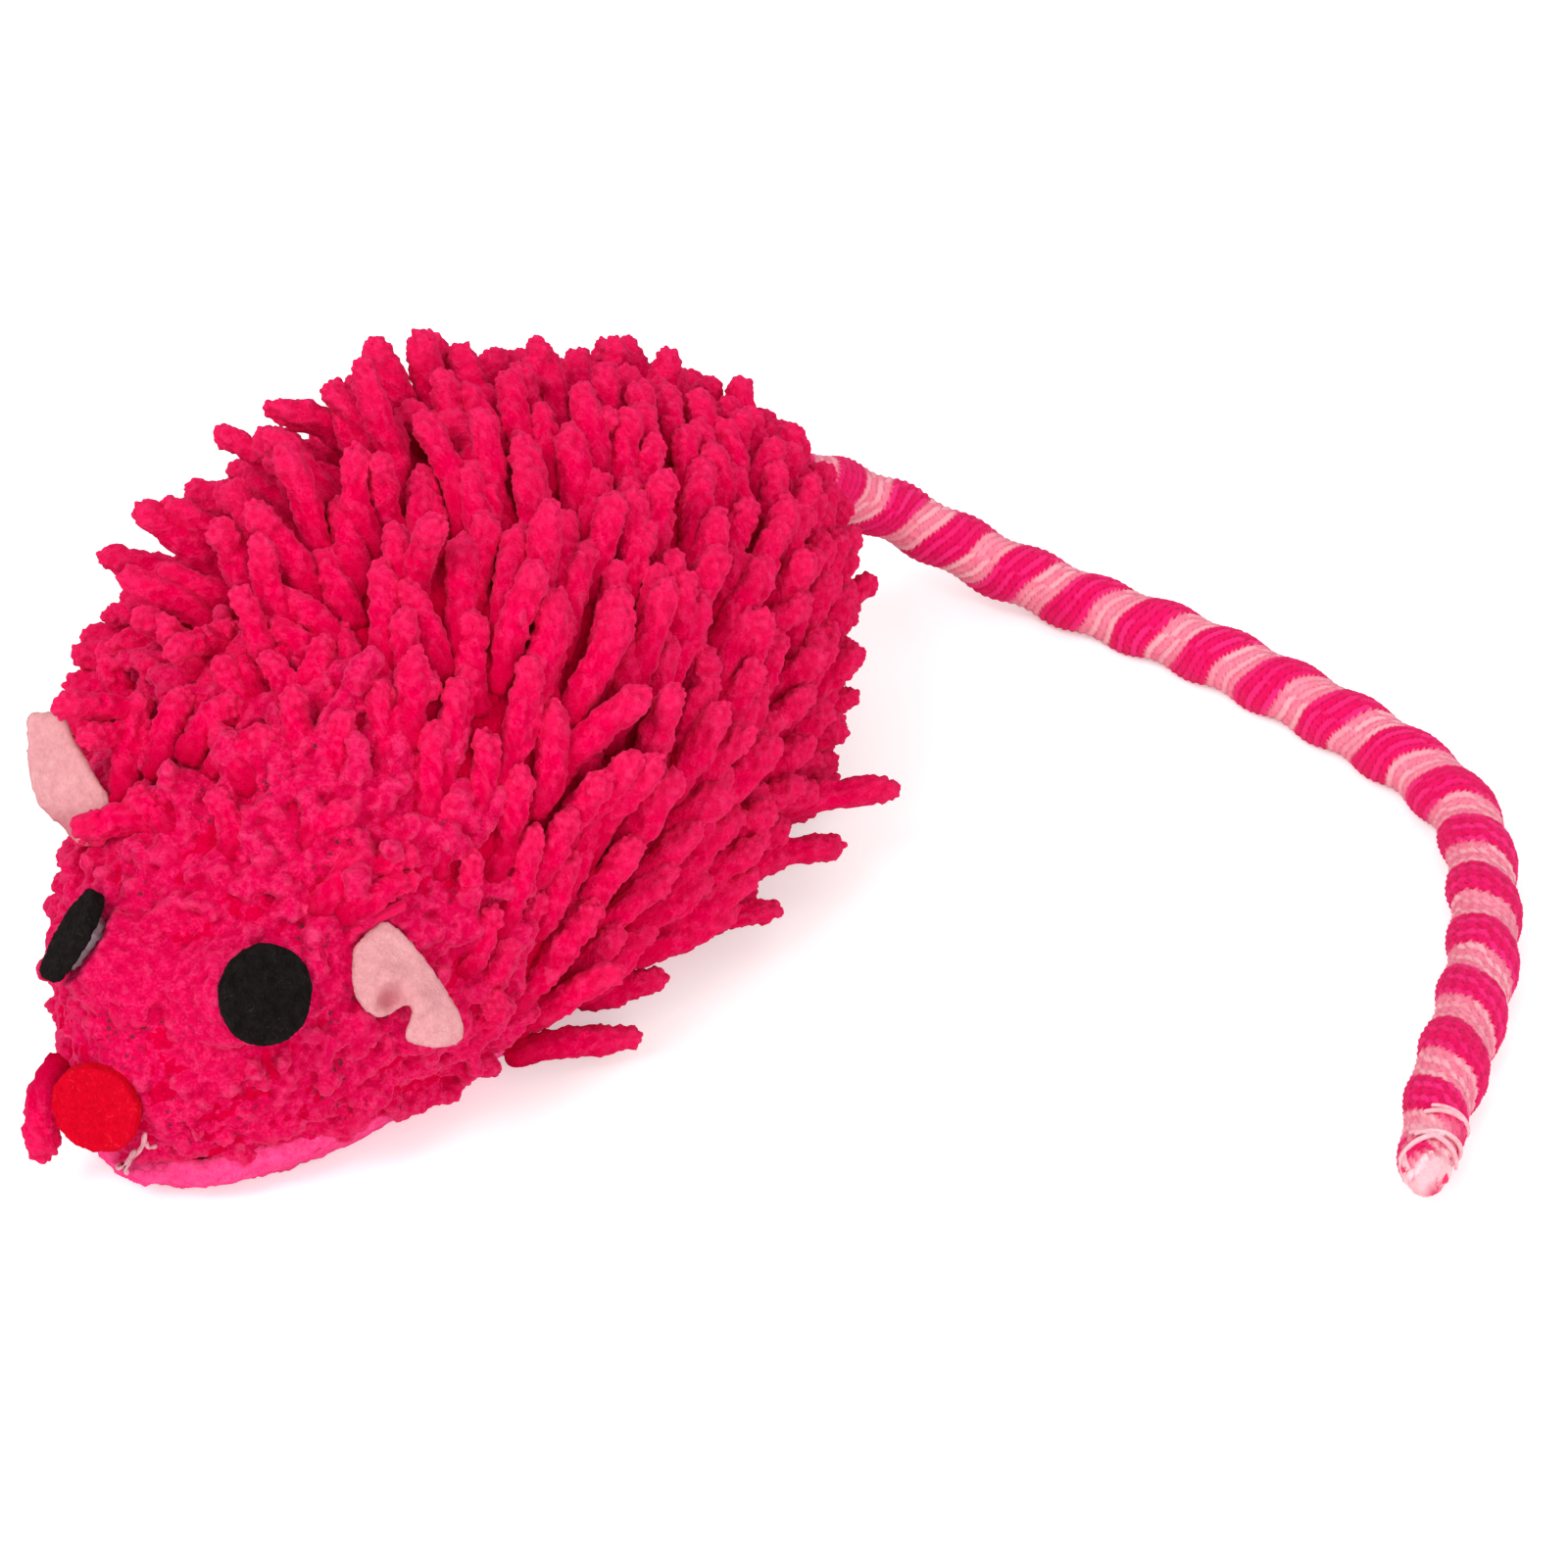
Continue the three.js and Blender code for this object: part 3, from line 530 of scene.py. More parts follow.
# %% Lines and tubes
def line_frames(line):
    """Two directions across the line at each of its points, carried along without twist"""
    heading = unit(np.gradient(line, axis=0))
    side = np.cross(heading[0], (0, 0, 1))
    sides = []
    for ahead in heading:
        side = unit(side - ahead * np.dot(side, ahead))
        sides.append(side)
    sides = np.array(sides)
    return sides, np.cross(heading, sides)


def tube_faces(rings, around):
    first = np.arange(rings - 1)[:, None] * around + np.arange(around)[None, :]
    beside = np.arange(rings - 1)[:, None] * around + (np.arange(around)[None, :] + 1) % around
    faces = np.stack([first, beside, beside + around, first + around], -1).reshape(-1, 4).tolist()
    last = (rings - 1) * around
    return [*faces, list(range(around))[::-1], [last + i for i in range(around)]]


def tube(line, sizes, count):
    """Points round a line, in rings of the given sizes"""
    sides, uppers = line_frames(line)
    ring = 2 * np.pi * np.arange(count) / count
    spread = sides[:, None] * np.cos(ring)[None, :, None] + uppers[:, None] * np.sin(ring)[None, :, None]
    return (line[:, None] + spread * np.asarray(sizes)[:, None, None]).reshape(-1, 3)


def tubes_piece(name, lines, sizes, count, finish):
    """Several tubes as one piece"""
    points = []
    faces = []
    for line, size in zip(lines, sizes):
        first = sum(map(len, points))
        points.append(tube(line, size, count))
        faces += [[first + i for i in face] for face in tube_faces(len(line), count)]
    piece = mesh_piece(name, np.vstack(points), faces, finish)
    subdivide(piece, 1)
    return piece


print("line frames", [len(part) for part in line_frames(tail_line)])

# %% Stitches
STITCHES = 18
STITCH_SAMPLES = 6
COURSES = 9
DARK_COURSES = 5
STITCHES_SHOW_FROM = 95 * MM
STITCHES_SHOW_BY = 118 * MM
STRIPE_PITCH = 9.3 * MM
STITCH_SLANT = 0.6
COURSE_WOBBLE = 0.16
LONG_WAVE = 3.7 * MM
SHORT_WAVE = 2.3 * MM

around = STITCHES * STITCH_SAMPLES
columns = np.arange(around)[None, :] / STITCH_SAMPLES
along = tail_steps[:, None]
turns = columns / STITCHES
phase = along / STRIPE_PITCH + turns
uneven = np.sin(4 * np.pi * turns + along / LONG_WAVE) + np.sin(6 * np.pi * turns - along / SHORT_WAVE)
rows = COURSES * phase + COURSE_WOBBLE * uneven
course = np.floor(rows)
across_course = rows - course - 0.5
stitch = columns + STITCH_SLANT * across_course
across_stitch = stitch % 1 - 0.5
open_knit = np.interp(along, (STITCHES_SHOW_FROM, STITCHES_SHOW_BY), (0, 1))
loop = (1 - (3.4 - 1.2 * open_knit) * across_course**2) * (1 - (1.2 + 2.0 * open_knit) * across_stitch**2)
is_dark = (course % COURSES < DARK_COURSES).astype(float)
plump = np.sin(2 * np.pi * phase)
print("stitches", STITCHES, "in a round, courses", int(course.max()) + 1)

# %% Knitted cord
STITCH_RELIEF = 0.45 * MM
BAND_RELIEF = 0.3 * MM
CORD_PLUMP = 0.3 * MM
SEAL_REACH = 17 * MM
CLOUD_REACH = 8 * MM
DRAWN_IN_AT = (0, 2 * MM, 5 * MM, SEAL_REACH)
DRAWN_IN_TO = (0.35, 0.66, 0.76, 1)
CORD_FLOOR_GAP = 0.02 * MM

sides, uppers = line_frames(tail_line)
angle = 2 * np.pi * turns[..., None]
outward = sides[:, None] * np.cos(angle) + uppers[:, None] * np.sin(angle)
radius = TAIL_DIAMETER / 2 + CORD_PLUMP - STITCH_RELIEF * 0.6 + STITCH_RELIEF * loop + BAND_RELIEF * plump
to_end = TAIL_LENGTH - tail_steps
drawn_in = np.interp(to_end, DRAWN_IN_AT, DRAWN_IN_TO)
radius = radius * drawn_in[:, None]
patchy = 0.55 + 0.45 * np.sin(course * 5.3 + columns)
sealed = np.clip(1.25 - to_end / CLOUD_REACH, 0, 1)[:, None] * patchy
points = tail_line[:, None] + outward * radius[..., None]
points[..., 2] = np.maximum(points[..., 2], CORD_FLOOR_GAP)
tail = mesh_piece("tail_cord", points.reshape(-1, 3), tube_faces(len(tail_line), around), backing_net)
give_attribute(tail, "dark", is_dark.ravel())
give_attribute(tail, "loop", loop.ravel())
give_attribute(tail, "sealed", sealed.ravel())
give_attribute(tail, "loop_shade", (np.sin(course * 3.0 + np.floor(stitch / 5) * 9.3) * 0.5 + 0.5).ravel())
print("tail faces", len(tail.data.polygons))

# %% [markdown]
# ### Tail yarn
# Two yarns are knitted together: a magenta one and a pale pink one. Each winds round the cord for some
# courses, so the stripes are as slanted as the courses are. Some loops are a little lighter than others, and
# the furrows between them are darkened with painted shade. Past the bend the single stitches show more.
# All this is kept in attributes of the mesh's points, so the pattern follows the cord round its bends.

# %% Tail yarn
def make_tail_yarn():
    made, tree, shader = new_material("tail_yarn")
    lighter = attribute(tree, "loop_shade")
    is_dark = attribute(tree, "dark")
    fibre = 0.28 * MM
    dark, height = add_pile(tree, (0.74, 0.0, 0.085), (0.9, 0.006, 0.15), 1.4 * MM, fibre)
    dark = tint(tree, dark, (0.98, 0.03, 0.24), lighter, 0.4, 1, share=0.7)
    pale = add_pile(tree, (0.92, 0.15, 0.27), (0.97, 0.3, 0.4), 1.1 * MM, fibre)[0]
    pale = tint(tree, pale, (1.0, 0.5, 0.55), lighter, 0.3, 1, share=0.75)
    colour = mix_colours(tree, is_dark, pale, dark)
    # painted shade in the furrows between the loops
    furrow_shade = mix_colours(tree, is_dark, (0.82, 0.16, 0.25, 1), (0.58, 0.0, 0.055, 1))
    colour = mix_colours(tree, stretch(tree, attribute(tree, "loop"), 0.15, 0.65), furrow_shade, colour)
    colour = tint(tree, colour, (0.94, 0.5, 0.55), attribute(tree, "sealed"), 0.15, 0.8)
    cover_with(tree, shader, colour, height, depth=0.2 * MM, roughness=0.85, specular=0.08)
    set_finish(shader, sheen_weight=0.1, sheen_roughness=0.4, sheen_tint=(1, 0.6, 0.7, 1))
    return made


tail.data.materials[0] = make_tail_yarn()
smooth(tail)
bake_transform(tail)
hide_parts("tail_root_sleeve", "tail_tip_sleeve")

# %% [markdown]
# ### Sealed end
# The cut end of the cord is dipped in hot glue. It draws the knit together and clouds it, so the stripes
# pale towards the end. A lumpy cap closes the cut, and a few loose yarns curl round it.

# %% Sealed end
SEAL_LENGTH = 7 * MM
STRAND_RADIUS = 0.33 * MM
STRAND_STEPS = 24
STRAND_STANDOFF = 0.3 * MM
STRAND_CURLS = (
    (10, 3.5, 2.2, 2.5), (8.5, 5.5, -1.8, -1), (6.5, 3.3, 2.6, 2), (5, 4.9, 1.6, 2.5), (3.5, 3.7, 2.4, -1.5),
)


def make_tail_seal():
    shown = tail_steps >= TAIL_LENGTH - SEAL_LENGTH
    line = tail_line[shown]
    left = (TAIL_LENGTH - tail_steps[shown]) / SEAL_LENGTH
    close = np.sqrt(np.clip(1 - (1 - left / 0.4).clip(0, 1) ** 2, 0, 1))
    size = TAIL_DIAMETER / 2 * (0.1 + 0.62 * close) * np.where(left > 0.9, 0.9, 1)
    seal = tubes_piece("tail_end_seal", [line], [size], 40, cloudy_glue)
    roughen(seal, size=1.6 * MM, height=1.2 * MM)
    return seal


def make_tail_strands():
    """Loose yarns: distance from the cord's end, first angle, turn round the cord and slide along it"""
    lines = []
    share = np.linspace(0, 1, STRAND_STEPS)
    for distance, angle, turn, slide in STRAND_CURLS:
        stop = TAIL_LENGTH - (distance - slide * share) * MM
        middle = np.stack([np.interp(stop, tail_steps, tail_line[:, axis]) for axis in range(3)], 1)
        at = np.searchsorted(tail_steps, stop).clip(0, len(tail_steps) - 1)
        round_it = (angle + turn * share)[:, None]
        wide = (TAIL_DIAMETER / 2 + CORD_PLUMP) * np.interp(stop, tail_steps, drawn_in) + STRAND_STANDOFF
        lines.append(middle + wide[:, None] * (np.cos(round_it) * sides[at] + np.sin(round_it) * uppers[at]))
    size = STRAND_RADIUS * (0.7 + 0.3 * np.sin(np.pi * share))
    return tubes_piece("tail_end_strands", lines, [size] * len(lines), 6, pale_yarn)


tail_seal = make_tail_seal()
set_down(tail_seal, "tail_lower", "glue", "tail_end_glue")
tail_strands = make_tail_strands()
set_down(tail_strands, "tail_lower", "yarn")

# %% [markdown]
# ## Body shape
# The stuffed body is a teardrop. Its width, crown and belly each follow a bell from the nose to the rump,
# and each section is a slightly squared oval. The same rule shaped the solids, so cloth, fingers and
# felt that are placed by it sit where the frame's own pieces are.

# %% Body surface
BODY_LENGTH = 117 * MM
BODY_WIDTH = 54 * MM
CROWN_RISE = 33 * MM
BELLY_DROP = 21.5 * MM
NOSE_HEIGHT = 13 * MM
RUMP_HEIGHT = 22 * MM
SECTION_POWER = 2.3
PLAN_TAPER = (0.58, 0.6)
CROWN_TAPER = (0.68, 0.75)
BELLY_TAPER = (0.36, 0.3)
SEAM_HEIGHT = 5 * MM


def bell(s, taper):
    snout, rump = taper
    peak = snout / (snout + rump)
    return s**snout * (1 - s) ** rump / (peak**snout * (1 - peak) ** rump)


def body_point(s, angle):
    """A point of the cover: s from the nose, 0, to the rump, 1; angle 0 is the left, 90 degrees the crown"""
    s, angle = np.broadcast_arrays(s, angle)
    s = np.clip(s, 1e-7, 1 - 1e-7)
    across = np.cos(angle)
    upward = np.sin(angle)
    reach = (abs(across) ** SECTION_POWER + abs(upward) ** SECTION_POWER) ** (-1 / SECTION_POWER)
    height = np.where(upward >= 0, CROWN_RISE * bell(s, CROWN_TAPER), BELLY_DROP * bell(s, BELLY_TAPER))
    centre = NOSE_HEIGHT + (RUMP_HEIGHT - NOSE_HEIGHT) * s
    width = BODY_WIDTH / 2 * bell(s, PLAN_TAPER)
    along = BODY_LENGTH * (s - 0.5)
    return np.stack([width * reach * across, along, centre + height * reach * upward], -1)


def body_frame(s, angle):
    """Outward normal, and the direction over the back from the left to the right"""
    step = 1e-4
    along = body_point(s + step, angle) - body_point(s - step, angle)
    over = body_point(s, angle + step) - body_point(s, angle - step)
    return unit(np.cross(along, over)), unit(over)


print("crown height", round(float(body_point(0.48, math.pi / 2)[2]), 4))

# %% [markdown]
# ## Cover cloth
# Under the pile there is a knitted net, sewn from a left and a right half. Each half is a grid over the
# body from the seam along the back down to the seam of the base, with thickness from a Solidify modifier.
# The grid follows the body's rule, so that the fingers, which are placed by it too, start in the cloth. Only
# round the tail's root the cloth is drawn in, which gives the tail room to swing.

# %% Cover cloth
SEAM_SAMPLES = 721


def seam_angle(s):
    """How far below the middle the cover goes on the left before it meets the base"""
    angles = np.linspace(-math.pi / 2, 0, SEAM_SAMPLES)
    heights = body_point(s, angles)[:, 2]
    low = angles[heights >= SEAM_HEIGHT]
    return float(low[0]) if len(low) else 0.0


COVER_RINGS = 72
COVER_COLUMNS = 56
CLOTH_THICKNESS = 1.2 * MM
TAIL_DIMPLE = 5.0 * MM
TAIL_DIMPLE_REACH = 11.0 * MM


def make_cover(name, side):
    points = []
    for s in (1 - np.cos(np.linspace(0.001, math.pi - 0.001, COVER_RINGS))) / 2:
        angles = np.linspace(seam_angle(s), math.pi / 2, COVER_COLUMNS)
        row = body_point(s, angles)
        row[:, 0] *= side
        from_tail = np.linalg.norm(row - TAIL_ROOT, axis=1)
        row[:, 1] -= TAIL_DIMPLE * np.clip(1 - from_tail / TAIL_DIMPLE_REACH, 0, 1)
        points.append(row)
    cover = grid_piece(name, points, backing_net)
    subdivide(cover, 1, plain=True)
    roughen(cover, size=2.4 * MM, height=0.9 * MM)
    granulate(cover, size=1.1 * MM, height=0.8 * MM)
    apply_modifier(cover, "SOLIDIFY", thickness=CLOTH_THICKNESS, offset=-1)
    return cover


for side, name in ((1, "left"), (-1, "right")):
    cover = make_cover(f"cover_cloth_{name}", side)
    set_down(cover, "mouse", "chenille", f"cover_{name}")

# %% [markdown]
# ## Chenille fingers
# The fingers stand in rings round the body, staggered like bricks, and they are all brushed one way: up the
# left side, over the back and down the right. One finger is modelled with few faces, as a cylinder
# with extra rings and a drawn-in tip, because hundreds of copies follow. They are bent along their own lines
# and become soft, woolly forms through subdivision and displacements, from the lumps down to the grain of
# the pile.

# %% One finger
FINGER_SIDES = 8
FINGER_CUTS = 7
TIP_INSET = 0.3
TIP_RISE = 0.03


def make_finger_model():
    bpy.ops.object.select_all(action="DESELECT")
    bpy.ops.mesh.primitive_cylinder_add(vertices=FINGER_SIDES, radius=1, depth=1, location=(0, 0, 0.5))
    model = bpy.context.object
    bpy.ops.object.transform_apply(location=True)
    mesh = model.data

    def stands_up(edge):
        low, high = (mesh.vertices[i].co.z for i in edge.vertices)
        return abs(high - low) > 0.5

    select_where(model, "EDGE", stands_up)
    bpy.ops.mesh.subdivide(number_cuts=FINGER_CUTS)
    select_where(model, "FACE", lambda face: face.center.z > 0.99)
    bpy.ops.mesh.inset(thickness=TIP_INSET, depth=TIP_RISE)
    bpy.ops.object.mode_set(mode="OBJECT")
    points = np.array([tuple(vertex.co) for vertex in mesh.vertices])
    faces = [list(face.vertices) for face in mesh.polygons]
    bpy.data.objects.remove(model, do_unlink=True)
    return points, faces


finger_points, finger_faces = make_finger_model()
print("finger model", len(finger_points), "points", len(finger_faces), "faces")

# %% Copies along bent lines
SWAY = 0.35 * MM
TIP_FROM = 0.86
TIP_OVER = 0.145
random = np.random.default_rng(7)


def bent_copies(roots, starts, ends, lengths, radii):
    """Points of one bent copy of the finger model for each root, and how far along each point is"""
    t = (1 - (1 - finger_points[:, 2].clip(0, 1)) ** 1.5)[None, :, None]
    bend = (ends - starts)[:, None]
    path = roots[:, None] + lengths[:, None, None] * (starts[:, None] * t + bend * t**2 / 2)
    sway = random.normal(0, SWAY, (len(roots), 1, 3))
    path = path + sway * np.sin(1.6 * np.pi * t)
    heading = unit(starts[:, None] + bend * t)
    guide = unit(random.normal(size=(len(roots), 1, 3)))
    side = unit(np.cross(heading, guide))
    upper = np.cross(heading, side)
    tip = np.sqrt(1 - ((t - TIP_FROM).clip(0) / TIP_OVER) ** 2)
    size = radii[:, None, None] * (0.92 + 0.1 * np.sin(np.pi * t)) * tip
    points = path + size * (finger_points[None, :, :1] * side + finger_points[None, :, 1:2] * upper)
    return points, np.broadcast_to(t[..., 0], points.shape[:2])


def tuft_piece(name, copies, finish, levels):
    points, reach = bent_copies(*copies)
    count = points.shape[1]
    faces = [[i + copy * count for i in face] for copy in range(len(points)) for face in finger_faces]
    tufts = mesh_piece(name, points.reshape(-1, 3), faces, finish)
    give_attribute(tufts, "reach", reach.ravel())
    subdivide(tufts, levels)
    return tufts


print("fingers sway by", SWAY / MM, "mm")

# %% [markdown]
# ### Setting the fingers
# Each ring is walked from the left seam over the back to the right seam. A finger starts out between the
# cloth's normal and the nap and leans further towards its tip. Near the face and on the rump the fingers
# are shorter. A few that have come loose from the nap are set one by one.

# %% Finger places
FACE_LENGTH = 29 * MM
RING_PITCH = 3.7 * MM
FINGER_PITCH = 5.3 * MM
FINGER_ABOVE_SEAM = 1.0 * MM
FRONT_ABOVE_SEAM = 5 * MM
FINGER_JITTER = 0.6 * MM
TRACK_SAMPLES = 1500
ROUND_SAMPLES = 1441


def finger_places():
    track = np.linspace(FACE_LENGTH / BODY_LENGTH, 0.99, TRACK_SAMPLES)
    travelled = arc_lengths(body_point(track, math.pi / 4))
    rings = np.interp(np.arange(0, travelled[-1], RING_PITCH), travelled, track)
    found = []
    for ring, s in enumerate(rings):
        angles = np.linspace(-math.pi / 2, 1.5 * math.pi, ROUND_SAMPLES)
        points = body_point(s, angles)
        lowest = SEAM_HEIGHT + np.interp(s, (0.25, 0.5), (FRONT_ABOVE_SEAM, FINGER_ABOVE_SEAM))
        angles = angles[points[:, 2] > lowest]
        points = points[points[:, 2] > lowest]
        walked = arc_lengths(points)
        start = FINGER_PITCH * (0.05 + 0.5 * (ring % 2))
        stops = np.arange(start, walked[-1], FINGER_PITCH)
        stops = stops + random.normal(0, FINGER_JITTER, len(stops))
        places = np.interp(stops, walked, angles)
        shift = random.normal(0, FINGER_JITTER, len(stops)) / BODY_LENGTH
        found += [(s + moved, place, ring) for place, moved in zip(places, shift)]
    return np.array(found)


places = finger_places()
print("fingers", len(places))

# %% Finger copies
FINGER_LENGTH = 12.5 * MM
FRONT_FINGER_LENGTH = 8 * MM
FRONT_RINGS = 4
RUMP_FINGER_LENGTH = 4.5 * MM
FINGER_RADIUS = 1.82 * MM
ROOT_DEPTH = 1.5 * MM
NAP_RISE = 13 * MM
FINGER_WANDER = 0.2
STRAY_WANDER = 0.75
STRAY_SHARE = 0.14
LENGTH_SPREAD = (0.78, 1.12)
RADIUS_SPREAD = (0.88, 1.08)


def finger_copies(places):
    """The pile is brushed flat up the left flank and stands more freely over the back and on the right"""
    s, angle, ring = places.T
    roots = body_point(s, angle)
    normal, over = body_frame(s, angle)
    rise = np.clip((roots[:, 2] - SEAM_HEIGHT) / NAP_RISE, 0, 1)
    brushed = np.clip(0.5 + 1.8 * np.cos(angle), 0, 1)
    lay = (0.5 * rise + brushed * (0.3 + 0.25 * rise))[:, None]
    upright = (1 - brushed * (0.55 - 0.15 * rise))[:, None]
    back = (0.12 + brushed * (0.75 + 0.1 * rise))[:, None] * np.array((0, 1, 0))
    wander = random.normal(0, FINGER_WANDER, roots.shape)
    stray = random.normal(0, STRAY_WANDER, roots.shape)
    stray = stray * (random.uniform(size=len(s)) < STRAY_SHARE)[:, None]
    starts = unit(upright * normal + lay * over + back + wander)
    stray = stray + random.normal(0, FINGER_WANDER, roots.shape)
    ends = unit(0.6 * upright * normal + 1.1 * (lay * over + back) + wander + stray)
    front = np.minimum(1, ring / FRONT_RINGS)
    lengths = FRONT_FINGER_LENGTH + (FINGER_LENGTH - FRONT_FINGER_LENGTH) * front
    lengths = lengths + (RUMP_FINGER_LENGTH - lengths) * np.clip(normal[:, 1], 0, 1) ** 0.65
    lengths = lengths * random.uniform(*LENGTH_SPREAD, len(s))
    radii = FINGER_RADIUS * (0.85 + 0.15 * front) * random.uniform(*RADIUS_SPREAD, len(s))
    return roots - ROOT_DEPTH * starts, starts, ends, lengths + ROOT_DEPTH, radii


copies = finger_copies(places)
print("mean length with the root", round(float(copies[3].mean() / MM), 1), "mm")

# %% Loose fingers
def stray_copies():
    """Fingers that have come loose from the nap: root, tip, the way it bows, and radius"""
    strays = np.array([
        (21.0, -24.0, 3.8, 29.4, -13.6, 2.4, 0, 0, 0.2, 1.7),
        (25.0, 13.5, 11.0, 33.5, 30.1, 9.2, 0, 0, 0.2, 1.8),
        (25.0, 8.0, 8.0, 32.5, 22.0, 6.2, 0, 0, 0.2, 1.7),
        (25.0, 0.0, 6.0, 31.3, 11.1, 4.2, 0, 0, 0.1, 1.6),
        (22.5, -14.5, 6.0, 27.6, -6.0, 3.8, 0, 0, 0.1, 1.6),
        (-6.4, -56.5, 14.2, -6.3, -60.7, 4.0, -0.35, -0.25, 0.2, 1.9),
        (-9.0, -42.0, 33.6, -12.4, -33.2, 41.0, -0.3, -0.2, 0.25, 1.75),
        (-6.0, -40.4, 37.0, -7.8, -32.7, 42.3, -0.15, -0.1, 0.25, 1.7),
        (-3.7, -38.6, 38.7, -2.0, -32.4, 43.5, -0.1, 0, 0.2, 1.75),
        (-13.0, -33.0, 39.0, -15.0, -41.8, 42.4, 0, 0, 0.25, 1.6),
        (-12.0, -35.0, 37.5, -13.0, -41.3, 40.0, 0, 0, 0.2, 1.5),
        (-2.0, -42.4, 35.6, -11.6, -44.4, 31.4, -0.1, -0.15, 0.3, 1.6),
        (16.0, -41.4, 29.7, 19.2, -34.0, 31.4, 0.1, 0, 0.25, 1.45),
    ])
    roots, tips, radii = strays[:, :3] * MM, strays[:, 3:6] * MM, strays[:, 9] * MM
    ahead, bow = unit(tips - roots), strays[:, 6:9]
    return roots, unit(ahead + bow), unit(ahead - bow), 1.1 * np.linalg.norm(tips - roots, axis=1), radii


strays = stray_copies()
print("loose fingers", len(strays[0]))

# %% Finger pieces
def woolly(fingers):
    roughen(fingers, size=3.0 * MM, height=1.1 * MM)
    roughen(fingers, size=1.2 * MM, height=0.45 * MM)
    granulate(fingers, size=0.8 * MM, height=0.65 * MM)
    set_down(fingers, "mouse", "chenille")


is_left = np.cos(places[:, 1]) >= 0
quarter = np.digitize(places[:, 0], np.quantile(places[:, 0], (0.25, 0.5, 0.75)))
for side, on_side in (("left", is_left), ("right", ~is_left)):
    for number, part in enumerate(("shoulder", "middle", "haunch", "rump")):
        chosen = on_side & (quarter == number)
        woolly(tuft_piece(f"fingers_{side}_{part}", [values[chosen] for values in copies], finger_pile, 2))
woolly(tuft_piece("fingers_loose", strays, finger_pile, 2))

# %% [markdown]
# ## Felt eyes and nose
# Each is a disc punched from thick felt and glued on. A cylinder whose faces are inset again and again gives
# even rings. A narrow first inset keeps the cut edge tight under subdivision, and fine displacements
# make it woolly.

# %% Felt discs
FELT = 1.4 * MM
DISC_SIDES = 48
DISC_RINGS = 6
CUT_EDGE = 0.25 * MM


def facing_turn(direction):
    return Vector((0, 0, 1)).rotation_difference(Vector(direction)).to_matrix().to_4x4()


def make_disc(name, diameter, place, facing, finish):
    bpy.ops.object.select_all(action="DESELECT")
    bpy.ops.mesh.primitive_cylinder_add(
        vertices=DISC_SIDES, radius=diameter / 2, depth=FELT, location=(0, 0, FELT / 2))
    disc = bpy.context.object
    disc.name = name
    disc.data.name = name
    disc.data.materials.append(finish)
    bpy.ops.object.transform_apply(location=True)
    for top in (FELT, 0):
        select_where(
            disc, "FACE", lambda face: len(face.vertices) > 4 and abs(face.center.z - top) < 0.1 * FELT)
        bpy.ops.mesh.inset(thickness=CUT_EDGE)
        for ring in range(DISC_RINGS):
            bpy.ops.mesh.inset(thickness=diameter / 2 / (DISC_RINGS + 1))
    bpy.ops.object.mode_set(mode="OBJECT")
    subdivide(disc, 2)
    disc.data.transform(Matrix.Translation(place) @ facing_turn(facing))
    roughen(disc, size=1.2 * MM, height=0.35 * MM)
    roughen(disc, size=0.35 * MM, height=0.22 * MM)
    return disc


print("felt", FELT / MM, "mm thick")

# %% Eyes and nose
EYES = {
    "left": {"side": 1, "back": 10.4 * MM, "angle": 39, "turn": 31, "standoff": 2.4 * MM},
    "right": {"side": -1, "back": 7 * MM, "angle": 64.5, "turn": 40, "standoff": 2.5 * MM},
}
EYE_DIAMETER = 9.6 * MM
NOSE_STANDOFF = 0.7 * MM
NOSE_DIAMETER = 9 * MM
NOSE_TURN = math.radians(15)
NOSE_UP = math.radians(13)


def eye_place(name):
    eye = EYES[name]
    s = eye["back"] / BODY_LENGTH
    angle = math.radians(eye["angle"])
    normal = body_frame(s, angle)[0]
    place = body_point(s, angle) + eye["standoff"] * normal
    facing = Matrix.Rotation(math.radians(eye["turn"]), 3, "Z") @ Vector(normal)
    mirror = np.array((eye["side"], 1, 1))
    return place * mirror, np.array(facing) * mirror


for name in EYES:
    place, facing = eye_place(name)
    eye = make_disc(f"eye_felt_{name}", EYE_DIAMETER, place, facing, black_felt)
    set_down(eye, "mouse", "black_felt", f"eye_{name}")
nose_place = np.array((0, -BODY_LENGTH / 2 - NOSE_STANDOFF, NOSE_HEIGHT))
nose_facing = np.array((
    math.sin(NOSE_TURN) * math.cos(NOSE_UP), -math.cos(NOSE_TURN) * math.cos(NOSE_UP), math.sin(NOSE_UP)))
nose = make_disc("nose_felt", NOSE_DIAMETER, nose_place, nose_facing, red_felt)
set_down(nose, "mouse", "red_felt", "nose")

# %% [markdown]
# ## Trimmed face
# On the face the fingers are trimmed and pressed flat, and the pile between them is thin enough to show the
# net. Short tufts, which are the finger model again, lie on a thin shell of pile. None starts closer to its
# neighbour than a set distance, and all keep clear of the felt. A mound of pile carries each eye.
# Shell, tufts and mounds are then joined and remeshed into one soft, curdled surface, so that they run
# into one another as clipped pile does. On the forehead some whole fingers lie on it, matted down.

# %% Thin pile
PILE_RINGS = 105
PILE_COLUMNS = 330
PILE_LIFT = 0.15 * MM
PILE_THICKNESS = 0.8 * MM
FACE_LAP = 4 * MM


